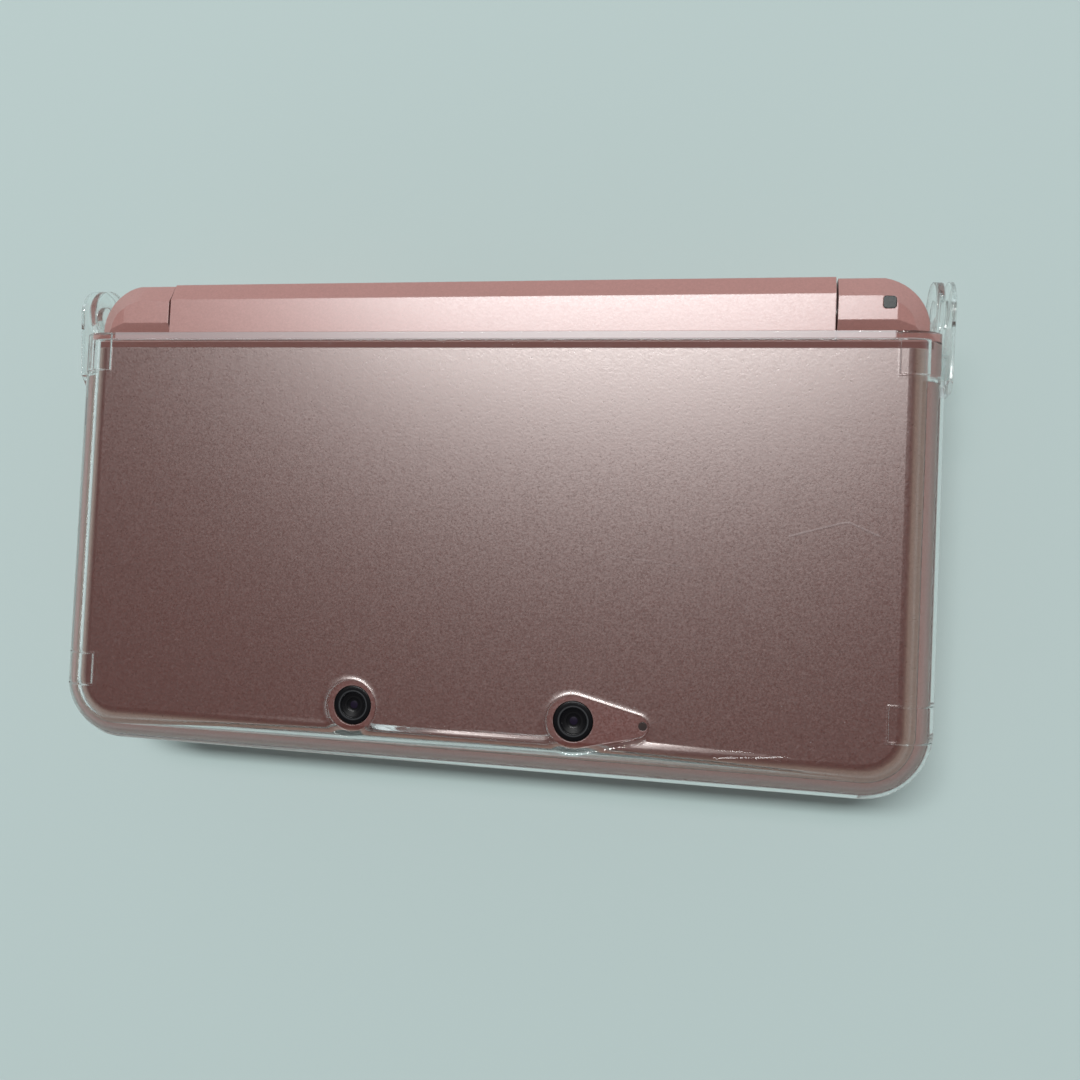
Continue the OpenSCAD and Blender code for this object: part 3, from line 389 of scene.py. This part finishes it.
def rubber(name, colour=(0.09, 0.085, 0.088)):
    """Silicone rubber: dull, with dust caught in its skin."""
    k = Look(name)
    dust = k.noise(0.35, 4.0, 0.7).band(0.56, 0.72)
    skin_colour = scaled(k, colour, 0.9 + k.noise(2.0, 3.0) * 0.2)
    k.feed("Base Color", k.mix(dust * 0.35, skin_colour, (0.35, 0.33, 0.32)))
    k.feed("Roughness", 0.62 + dust * 0.25)
    k.relief(k.noise(0.25, 3.0), 0.012, k.soft_edges(0.15))
    return k.material


def tinted(name, colour, through, rough=0.06, ior=1.49):
    """A small window of tinted plastic."""
    k = Look(name, Transmission_Weight=through, IOR=ior, Coat_Weight=0.5, Coat_Roughness=0.03)
    cloud = k.noise(0.8, 3.0)
    k.feed("Base Color", scaled(k, colour, 0.85 + cloud * 0.3))
    k.feed("Roughness", rough + cloud * 0.08)
    k.relief(k.noise(0.4, 2.0), 0.006, k.soft_edges(0.15))
    return k.material


def stroke(look, points, width):
    """A fine scratch along a line of points in the plan, 1 at its middle, soft to that width."""
    x, y, _ = look.xyz()
    total = None
    for (x0, y0), (x1, y1) in zip(points, points[1:]):
        length = math.hypot(x1 - x0, y1 - y0)
        tx, ty = (x1 - x0) / length, (y1 - y0) / length
        along = (x - x0) * tx + (y - y0) * ty
        gap = (x - x0) * ty - (y - y0) * tx
        ends = (along.at_most(0) + (along - length).at_least(0)).abs()
        near = (gap * gap + ends * ends).root().band(width, 0)
        total = near if total is None else total.at_least(near)
    return total


def hairlines(look):
    """Three families of long fine scratches from handling."""
    total = None
    for turn, size in ((17, (9.0, 0.045, 3.0)), (-38, (6.0, 0.04, 3.0)), (71, (7.0, 0.05, 3.0))):
        line = look.noise(1, 0.0, 0.5, at=look.stretched(turn, size)).band(0.77, 0.84)
        total = line if total is None else total.at_least(line)
    return total


def hugging_walls(look, face):
    """1 on the inner faces of the case's side walls and rolls, which lie against the console."""
    x, y, z = look.xyz()
    flat = Value(look, face.outputs["True Normal"])
    split = look.node("ShaderNodeSeparateXYZ", values={0: flat}, raw=True)
    nx, ny, nz = (Value(look, s) for s in split.outputs)
    outward = 1 - 2 * Value(look, face.outputs["Backfacing"])
    inner = (nx * (x / CASE_HALF_WIDTH) + ny * (y / CASE_HALF_DEPTH)) * outward
    by_wall = (x.abs() - (CASE_HALF_WIDTH - 0.4)).at_least(-(CASE_HALF_DEPTH - 0.4) - y).band(0, 0.1)
    by_roll = (x.abs() - (CASE_HALF_WIDTH - 3.5)).at_least(-(CASE_HALF_DEPTH - 3.5) - y).band(0, 0.1)
    wall = by_wall * inner.band(-0.45, -0.6)
    roll = by_roll * inner.band(-0.3, -0.4) * (nz * outward).band(-0.08, -0.16)
    above = z.band(19.2, 19.8)
    reach = z.band(LID_TOP, LID_TOP - 0.2) * y.band(EARS_FROM_Y, EARS_FROM_Y - 0.2)
    return (wall * above).at_least(roll * above) * reach


def clear_plastic(name, marks=()):
    """Clear polycarbonate: hairlines from handling, specks of dust, painted highlights along any crease and
    along the rear lip, and light let through to what it covers.

    marks are (points, width, depth) of single creases. The side walls hug the console, so what is seen
    through them is not bent. After a few surfaces, and for all soft light, the plastic only tints.
    """
    clean = (0.975, 0.99, 0.985)
    k = Look(name, IOR=1.53, Roughness=0.0, Transmission_Weight=1.0, Base_Color=clean)
    top = k.node("ShaderNodeSeparateXYZ", values={0: k.node("ShaderNodeNewGeometry", out="Normal")}, out=2)
    hair = hairlines(k)
    height = hair * -0.12
    crease = glint = 0.0
    for points, width, depth in marks:
        line = stroke(k, points, width)
        height = height + line * depth
        crease = line * (abs(depth) * 0.2) + crease
        # painted highlight: a pale line on the crease's side towards the lamp
        lit_side = [(px - 0.1, py + width * 0.8) for px, py in points]
        glint = stroke(k, lit_side, width) * (abs(depth) * 0.12) + glint
    wave = {"Height": k.noise(14.0, 1.0), "Distance": 0.006 * MM, "Normal": k.soft_edges(0.3)}
    k.relief(height, 0.008, k.node("ShaderNodeBump", values=wave), 0.6)
    k.feed("Base Color", k.mix(crease + hair * 0.04, clean, (0.35, 0.33, 0.33)))

    speck = k.cells(2.6, out="Distance").band(0.045, 0.03) * k.noise(7.0, 2.0).band(0.5, 0.6)
    fibre = k.noise(1, 0.0, 0.5, at=k.stretched(33, (1.6, 0.07, 2.0))).band(0.80, 0.84)
    x, y, z = k.xyz()
    rear = GROOVE_Y[1]
    # painted highlight: a pale strip along the cover's rear lip, standing in for the lamp's reflection on
    # that edge
    lip_highlight = y.band(rear - 0.03, rear + 0.09) * z.band(LID_TOP - 0.2, LID_TOP + 0.2)
    lip_highlight = lip_highlight * (x.abs() - LIP_HIGHLIGHT_HALF_WIDTH).band(0.2, -0.2)
    dust_and_painted_highlights = (speck * 0.3 + fibre * 0.2 + hair * 0.08 + glint + lip_highlight * 0.62).clip() * top.abs()
    # one pale grey-pink surface shows the dust and scratches, and also the painted highlights of the crease
    # and the rear lip
    grey_pink = {"Base Color": (0.46, 0.38, 0.385, 1), "Roughness": 0.32, "IOR": 2.0}
    dust = k.node("ShaderNodeBsdfPrincipled", values=grey_pink, out="BSDF")
    glass = Value(k, k.shader.outputs["BSDF"])
    seen = k.node("ShaderNodeMixShader", values={0: dust_and_painted_highlights, 1: glass, 2: dust})

    clear = k.node("ShaderNodeBsdfTransparent", values={"Color": (0.93, 0.945, 0.94, 1)})
    path = k.node("ShaderNodeLightPath", raw=True)
    sharp = (Value(k, path.outputs["Is Camera Ray"]) + Value(k, path.outputs["Is Singular Ray"])).clip()
    early = (5 - Value(k, path.outputs["Ray Depth"])).clip()
    hugging = hugging_walls(k, k.node("ShaderNodeNewGeometry", raw=True))
    bends = sharp * early * (1 - hugging)
    k.wrap(k.node("ShaderNodeMixShader", values={0: bends, 1: clear, 2: seen}).socket)
    return k.material


def paint(material, *nodes):
    """Puts the material into every slot of those CAD nodes."""
    for n in nodes:
        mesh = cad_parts[n].data
        for i in range(max(1, len(mesh.materials))):
            if i < len(mesh.materials):
                mesh.materials[i] = material
            else:
                mesh.materials.append(material)


def paint_shells():
    """The console's lacquered and moulded outside."""
    # the groove colour is painted shade for the groove behind the lid plate
    groove = (*GROOVE_Y, GROOVE_BOTTOM, (0.15, 0.03, 0.02))
    shell = pearl("pearl_shell", (0.40, 0.19, 0.17), (0.60, 0.45, 0.44), 0.31, 1.85, groove=groove, grit=0.5)
    paint(shell, "lid_outer_shell", "base_upper_housing", "lid_inner_bezel")
    # the rim colour is a painted reflection: the plate's rolled edges painted paler tan, as if reflecting
    # the bright surroundings
    rim = (LID_TOP - 0.01, (0.28, 0.165, 0.13))
    warm = (1.0, 0.88, 0.865)
    plate = pearl("pearl_lacquer", (0.092, 0.008, 0.002), (0.40, 0.30, 0.30), 0.332, 2.5, rim=rim, tint=warm)
    paint(plate, "lid_top_plate")
    pink = moulded("moulded_pink", (0.41, 0.20, 0.18))
    paint(pink, "base_lower_housing", "back_cover", "memory_door", "shoulder_left", "shoulder_right")
    dark = moulded("moulded_dark", (0.030, 0.029, 0.031), 0.5)
    paint(dark, "inner_camera", "speaker_modules", "slide_pad_tray")
    paint(dark, "headphone_socket", "power_inlet", "stylus_sleeve")


def paint_keys():
    """Keys, buttons, knobs and the two hidden pieces that carry them."""
    key = moulded("satin_keys", (0.36, 0.345, 0.35), 0.34, 0.12, 0.003, 0.3)
    paint(key, "slide_pad_cap", "direction_cross", "depth_slider_knob", "power_key")
    paint(key, "button_north", "button_south", "button_east", "button_west")
    paint(key, "menu_key_left", "menu_key_middle", "menu_key_right")
    slider = moulded("grey_sliders", (0.20, 0.195, 0.20), 0.4)
    paint(slider, "volume_knob", "radio_knob", "slide_pad_carriage", "direction_pivot")


def paint_insides():
    """Screens, sheet metal, boards, battery, ribbon, rubber and the memory card."""
    paint(panel("screen_glass", (-38.4, 38.4, -26.55, 19.55)), "upper_screen_window")
    picture = (-30.7, 30.7, -24.25, 21.85)
    paint(panel("touch_glass", picture, (0.012, 0.012, 0.013), (0.030, 0.032, 0.034)), "touch_panel")
    tinned = sheet_metal("tinned_sheet", (0.60, 0.60, 0.58), 0.32)
    paint(tinned, "upper_screen_module", "lower_screen_module")
    drawn = sheet_metal("drawn_sheet", (0.62, 0.60, 0.57), 0.28, 90)
    paint(drawn, "card_slot_cage", "memory_slot_cage")
    steel = sheet_metal("turned_steel", (0.55, 0.54, 0.53), 0.26, 0)
    paint(steel, "hinge_clutch", "hinge_shaft", "hinge_tube", "shoulder_pins")
    zinc = sheet_metal("zinc_screws", (0.58, 0.57, 0.56), 0.3, 0, False)
    paint(zinc, "lid_screws", "back_cover_screws")
    paint(sheet_metal("stylus_metal", (0.60, 0.60, 0.61), 0.3, 90), "stylus_rod")
    boards = circuit("solder_mask")
    paint(boards, "main_board", "radio_board", "outer_camera_module", "depth_slider_board")
    paint(wrapped("battery_sleeve"), "battery")
    paint(foil("copper_film"), "lid_ribbon")
    paint(rubber("grey_rubber"), "lid_rubber_pads", "button_sheets")
    paint(moulded("bush_white", (0.62, 0.61, 0.56), 0.4), "hinge_bush")
    card = moulded("card_blue", (0.022, 0.035, 0.12), 0.36, worn=(0.06, 0.08, 0.2))
    paint(card, "memory_card")


def paint_windows():
    """The small tinted windows and lights."""
    paint(tinted("lens_back", (0.004, 0.004, 0.005), 0.0, 0.05), "outer_lens_covers")
    paint(tinted("dot_smoke", (0.045, 0.030, 0.028), 0.2, 0.2), "camera_light_guide")
    paint(tinted("smoke_red", (0.030, 0.004, 0.006), 0.1), "infrared_window")
    paint(tinted("note_smoke", (0.020, 0.030, 0.029), 0.2, 0.2, 1.33), "notification_light")
    paint(tinted("milky_lights", (0.62, 0.66, 0.60), 0.5, 0.25), "charge_lights")


def paint_case():
    """The clear case. Its lid half has one crease and one scuff; each is (points, width, depth)."""
    crease = ([(48.02, -1.85), (55.26, 0.27), (56.21, 0.38), (60.33, -1.39)], 0.22, -1.2)
    scuff = ([(22.52, -5.77), (28.17, -6.27), (35.47, -7.13)], 0.2, -0.4)
    paint(clear_plastic("clear_cover", [crease, scuff]), "case_lid_cover")
    paint(clear_plastic("clear_shell"), "case_base_cover")


def floor(half=4.0):
    """A plain pale floor, half is half its side in metres."""
    mesh = bpy.data.meshes.new("floor")
    corners = [(-half, -half, 0), (half, -half, 0), (half, half, 0), (-half, half, 0)]
    mesh.from_pydata(corners, [], [(0, 1, 2, 3)])
    o = bpy.data.objects.new("floor", mesh)
    bpy.context.scene.collection.objects.link(o)
    k = Look("floor", Base_Color=(0.50, 0.615, 0.605), Roughness=0.85)
    o.data.materials.append(k.material)


def light():
    """One wide soft box over the hinge side, and a room that is pale near the ground and dim above."""
    lamp("key", -0.11, 0.362, 3.0, (1.70, 0.27), 72.0)
    world = bpy.data.worlds.new("world")
    bpy.context.scene.world = world
    world.use_nodes = True
    tree = world.node_tree
    ground = tree.nodes["Background"]
    up = tree.nodes.new("ShaderNodeTexCoord")
    split = tree.nodes.new("ShaderNodeSeparateXYZ")
    ramp = tree.nodes.new("ShaderNodeValToRGB")
    tree.links.new(up.outputs["Generated"], split.inputs[0])
    tree.links.new(split.outputs[2], ramp.inputs[0])
    tree.links.new(ramp.outputs[0], ground.inputs["Color"])
    low, high = ramp.color_ramp.elements
    low.position, low.color = 0.05, (0.80, 0.90, 0.92, 1)
    high.position, high.color = 0.55, (0.155, 0.148, 0.145, 1)
    ground.inputs["Strength"].default_value = 1.0


# ---- pieces ----
def skin(name, grids, material, body, slot, *nodes):
    """A closed skin over each grid of points (rows x columns x 3, millimetres); columns go right round."""
    points, faces, start = [], [], 0
    for g in grids:
        rows, cols = g.shape[:2]
        index = start + np.arange(rows * cols).reshape(rows, cols)
        turned = np.roll(index, -1, axis=1)
        quads = np.stack([index[:-1], turned[:-1], turned[1:], index[1:]], -1)
        points.append(g.reshape(-1, 3))
        faces.append(quads.reshape(-1, 4))
        start += rows * cols
    mesh = bpy.data.meshes.new(name)
    mesh.from_pydata((np.concatenate(points) * MM).tolist(), [], np.concatenate(faces).tolist())
    bm = bmesh.new()
    bm.from_mesh(mesh)
    bmesh.ops.remove_doubles(bm, verts=bm.verts, dist=1e-8)
    bmesh.ops.recalc_face_normals(bm, faces=bm.faces)
    bm.to_mesh(mesh)
    bm.free()
    return join_in(name, mesh, material, body, slot, *nodes)


def join_in(name, mesh, material, body, slot, *nodes, smooth=True):
    """Puts a finished mesh on its body in place of the CAD nodes."""
    if smooth:
        mesh.shade_smooth()
        mesh.set_sharp_from_angle(angle=math.radians(32))
    mesh.materials.clear()
    mesh.materials.append(material)
    o = bpy.data.objects.new(name, mesh)
    bpy.context.scene.collection.objects.link(o)
    if smooth:
        even = o.modifiers.new("even", "WEIGHTED_NORMAL")
        even.keep_sharp = True
    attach(o, body)
    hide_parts(*nodes)
    return o


def resample(points, step):
    """The profile's corners with points no more than step apart between them."""
    out = [np.array(points[:1], float)]
    for a, b in zip(points, points[1:]):
        n = max(1, math.ceil(math.dist(a, b) / step))
        t = np.linspace(0, 1, n + 1)[1:, None]
        out.append((1 - t) * a + t * b)
    return np.concatenate(out)


def turned(profile, centre, facing=1, columns=96, groove=None, thread=None):
    """A turned form: points (radius, depth) swept round a vertical axis through the middle of its face.

    x = r cos a, y = r sin a, z = -facing (depth + groove(x, y)); thread is (from depth, height, pitch):
    beyond that depth r shrinks by height (1 - cos(2 pi depth / pitch - a)) / 2.
    """
    r, d = np.asarray(profile, float).T[:, :, None]
    a = np.linspace(0, 2 * np.pi, columns, endpoint=False)[None, :]
    if thread:
        begin, height, pitch = thread
        cut = (d > begin) * (r > height)
        r = r - height * cut * (1 - np.cos(2 * np.pi * d / pitch - a)) / 2
    x, y = r * np.cos(a), r * np.sin(a)
    d = d + 0 * a
    if groove:
        d = d + groove(x, y) * (d < 0.2)
    return np.stack([x + centre[0], y + centre[1], centre[2] - facing * d], -1)


def cross_recess(x, y):
    """A tapered cross: two arms 0.42 mm wide and 1.9 mm long, 0.34 mm deep with sloping sides."""
    u, v = np.abs(x), np.abs(y)
    arms = [np.clip((0.26 - w) / 0.1, 0, 1) * np.clip((0.98 - l) / 0.3, 0, 1) for w, l in ((u, v), (v, u))]
    return 0.34 * np.maximum(*arms)


def screws(name, places, head, shank, material, body, node):
    """Pan-head screws with their faces down. head and shank are (diameter, length)."""
    hr, hl, sr, sl = head[0] / 2, head[1], shank[0] / 2, shank[1]
    crown = [(r, 0.03 * (r / hr) ** 2) for r in np.linspace(0, hr - 0.12, 26)]
    rim = [(hr - 0.035, 0.055), (hr, 0.14), (hr, hl - 0.05), (hr - 0.05, hl)]
    neck = [(sr + 0.05, hl), (sr, hl + 0.05)]
    tip = [(sr, hl + sl - 0.3), (sr * 0.55, hl + sl), (0, hl + sl)]
    shaft = resample(neck[-1:] + tip, 0.07)
    profile = np.concatenate([crown, rim, neck, shaft[1:]])
    grids = [turned(profile, p, -1, 72, cross_recess, (hl + 0.2, 0.14, 0.45)) for p in places]
    return skin(name, grids, material, body, "steel", node)


def lens_fronts(material):
    """Two lens windows: a stepped black well with a small dome, a groove, a flat ring and a rolled rim."""
    dome = [(r, 0.62 + 0.05 * (r / 0.62) ** 2) for r in np.linspace(0, 0.62, 12)]
    steps = [(0.64, 0.70), (0.95, 0.70), (1.15, 0.62), (1.15, 0.50), (1.45, 0.44), (1.45, 0.32)]
    mouth = [(1.85, 0.24), (1.95, 0.09), (2.0, 0.07)]
    groove = [(2.16, 0.07), (2.19, 0.13), (2.30, 0.13), (2.33, 0.0)]
    rim = [(LENS_RADIUS - 0.15, 0.0), (LENS_RADIUS - 0.06, 0.03), (LENS_RADIUS, 0.12)]
    back = [(LENS_RADIUS, 0.75), (0, 0.75)]
    profile = dome + steps + mouth + groove + rim + back
    grids = [turned(profile, (s * LENS_X, LENS_Y, LID_TOP - 0.05), 1, 128) for s in (-1, 1)]
    return skin("lens_windows", grids, material, "lid", "gloss_black", "outer_lens_covers")


def merged(node, angle=0.4):
    """A copy of the CAD solid's mesh with shared corners and whole flat faces."""
    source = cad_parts[node]
    bm = bmesh.new()
    bm.from_mesh(source.data)
    bm.transform(source.matrix_world)
    bmesh.ops.remove_doubles(bm, verts=bm.verts, dist=1e-6)
    bmesh.ops.dissolve_limit(bm, angle_limit=math.radians(angle), verts=bm.verts, edges=bm.edges)
    return bm


def rounded(node, body, slot, radius, steps=3, sharp=38):
    """The node's own solid with every edge sharper than that many degrees rolled to the radius."""
    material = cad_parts[node].data.materials[0]
    bm = merged(node)
    edges = [e for e in bm.edges if len(e.link_faces) == 2 and e.calc_face_angle(0) > math.radians(sharp)]
    bmesh.ops.bevel(
        bm, geom=edges, offset=radius * MM, segments=steps, profile=0.5, affect="EDGES", clamp_overlap=True
    )
    mesh = bpy.data.meshes.new(node + "_rolled")
    bm.to_mesh(mesh)
    bm.free()
    return join_in(node + "_rolled", mesh, material, body, slot, node)


def outline_gap(p, r1, span, r2):
    """How far points lie outside the outline round two circles, and which way is out.

    The circles' centres are span apart along x, and two straight tangents join them.
    """
    q = np.stack([np.abs(p[:, 1]), p[:, 0]], 1)
    b = (r1 - r2) / span
    a = math.sqrt(1 - b * b)
    k = q @ np.array([-b, a])
    far = q - (0, span)
    l1, l2 = np.linalg.norm(q, axis=1), np.linalg.norm(far, axis=1)
    first, last = k < 0, k > a * span
    by_last = np.where(last[:, None], far / l2[:, None], [[a, b]])
    out = np.where(first[:, None], q / l1[:, None], by_last)
    gap = np.where(first, l1 - r1, np.where(last, l2 - r2, q @ np.array([a, b]) - r1))
    return gap, np.stack([out[:, 1], out[:, 0] * np.sign(p[:, 1])], 1)


def rolled_rim(bm, centre, r1, span, r2, draw=1.05, rows=9):
    """Rolls one camera opening's straight wall over into a rounded lip.

    From the opening's outer edge, the lip runs inward by draw sin(t) and down by height (1 - cos(t)),
    for t from 0 to 90 degrees. The edge underneath moves inward by draw.
    """
    verts = list(bm.verts)
    place = np.array([v.co for v in verts]) / MM
    gap, out = outline_gap(place[:, :2] - (centre, LENS_Y), r1, span, r2)
    rim = {v: n for v, g, z, n in zip(verts, gap, place[:, 2], out) if abs(g) < 0.02 and z > LID_TOP - 1}
    wall = {f for f in bm.faces if abs(f.normal.z) < 0.2 and all(v in rim for v in f.verts)}
    edges = [e for e in bm.edges if len(e.link_faces) == 2 and len(wall.intersection(e.link_faces)) == 1]
    over = [sum(f.normal.z for f in e.link_faces if f not in wall) > 0 for e in edges]
    middle = Vector((centre + span * 0.35, LENS_Y)) * MM

    def ring(up):
        found = {v for e, o in zip(edges, over) if o == up for v in e.verts}
        return sorted(found, key=lambda v: math.atan2(v.co.y - middle.y, v.co.x - middle.x))

    top, low = ring(True), ring(False)
    bmesh.ops.delete(bm, geom=list(wall), context="FACES_ONLY")
    spare = [e for e in bm.edges if not e.link_faces]
    bmesh.ops.delete(bm, geom=spare, context="EDGES")

    def angle(vs):
        p = np.array([v.co for v in vs])
        return np.arctan2(p[:, 1] - middle.y, p[:, 0] - middle.x), p

    top_angle, p = angle(top)
    low_angle, q = angle(low)
    under = np.interp(top_angle, low_angle, q[:, 2], period=2 * np.pi)
    way = np.array([rim[v] for v in top]) * draw * MM
    for v in low:
        v.co.xy -= Vector(rim[v]) * draw * MM
    t = np.linspace(0, np.pi / 2, rows)[1:, None]
    grid = np.stack(
        [
            p[:, 0] - way[:, 0] * np.sin(t),
            p[:, 1] - way[:, 1] * np.sin(t),
            p[:, 2] - (p[:, 2] - under) * (1 - np.cos(t)),
        ],
        -1,
    )
    lip = [top] + [[bm.verts.new(c) for c in row] for row in grid.tolist()]
    n = len(top)
    for a, b in zip(lip, lip[1:]):
        for i in range(n):
            bm.faces.new((a[i], a[(i + 1) % n], b[(i + 1) % n], b[i])).smooth = True
    last = [bm.edges.get((lip[-1][i], lip[-1][(i + 1) % n])) for i in range(n)]
    lower = [bm.edges.get((low[i], low[(i + 1) % len(low)])) for i in range(len(low))]
    bmesh.ops.bridge_loops(bm, edges=[e for e in last + lower if e])


def cover_with_rolled_rims(material):
    """The clear lid cover, with the rims of its two camera openings rolled over."""
    bm = merged("case_lid_cover")
    rolled_rim(bm, -LENS_X, 5.0, 1e-6, 5.0)
    rolled_rim(bm, LENS_X, 5.0, 9.55, 2.7)
    bmesh.ops.recalc_face_normals(bm, faces=bm.faces)
    mesh = bpy.data.meshes.new("clear_lid_cover")
    bm.to_mesh(mesh)
    bm.free()
    return join_in("clear_lid_cover", mesh, material, "lid", "clear_case", "case_lid_cover", smooth=False)


def lens_glass():
    """Black window: a grey ring in its groove and a violet-coated dome in the middle."""
    k = Look("lens_glass", Coat_Weight=0.05, Coat_Roughness=0.1, IOR=1.22)
    x, y, _ = k.xyz()
    u, v = x.abs() - LENS_X, y - LENS_Y
    r = (u * u + v * v).root()
    ring = (r - 2.24).abs().band(0.16, 0.05)
    step = (r - 1.3).abs().band(0.25, 0.1)
    dome = r.band(0.64, 0.58)
    dust = k.cells(0.8, out="Distance").band(0.07, 0.03)
    dark = k.mix(step, (0.004, 0.004, 0.005), (0.008, 0.008, 0.009))
    black = k.mix(ring, dark, (0.05, 0.052, 0.056))
    coated = k.mix(dome, black, (0.012, 0.008, 0.020))
    k.feed("Base Color", k.mix(dust * 0.3, coated, (0.4, 0.4, 0.4)))
    k.feed("Roughness", 0.24 + k.noise(0.7, 3.0) * 0.12 + ring * 0.2)
    k.relief(k.noise(0.3, 2.0), 0.002)
    return k.material


LID_POSTS = [(x, y, 14.5) for x in (-59.6, 59.6) for y in (-28.0, 21.6)]
BASE_POSTS = [(x, -28.2, 1.45) for x in (-27, 53)] + [(x, 20.3, 1.45) for x in (-31.5, 31.5)]
SOFT_KEYS = {
    0.35: {"direction_cross": "cross"},
    0.22: {"slide_pad_cap": "pad_cap"},
    0.12: {"button_" + side: side for side in ("north", "south", "east", "west")},
    0.18: {"menu_key_" + p: "key_" + p for p in ("left", "middle", "right")} | {"power_key": "power"},
    0.15: {"depth_slider_knob": "depth_knob"},
}


def pieces():
    """Finer forms in place of some CAD nodes. SOFT_KEYS gives edge radius, then node and body."""
    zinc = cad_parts["lid_screws"].data.materials[0]
    screws("lid_screw_set", LID_POSTS, (3.0, 0.7), (1.4, 4.0), zinc, "lid", "lid_screws")
    screws("back_screw_set", BASE_POSTS, (3.1, 0.53), (1.4, 3.32), zinc, "base", "back_cover_screws")
    lens_fronts(lens_glass())
    cover_with_rolled_rims(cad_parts["case_lid_cover"].data.materials[0])
    for radius, keys in SOFT_KEYS.items():
        for node, body in keys.items():
            rounded(node, body, "key_grey", radius)


camera()
floor()
light()
paint_shells()
paint_keys()
paint_insides()
paint_windows()
paint_case()
pieces()
bpy.context.scene.view_settings.view_transform = "Standard"
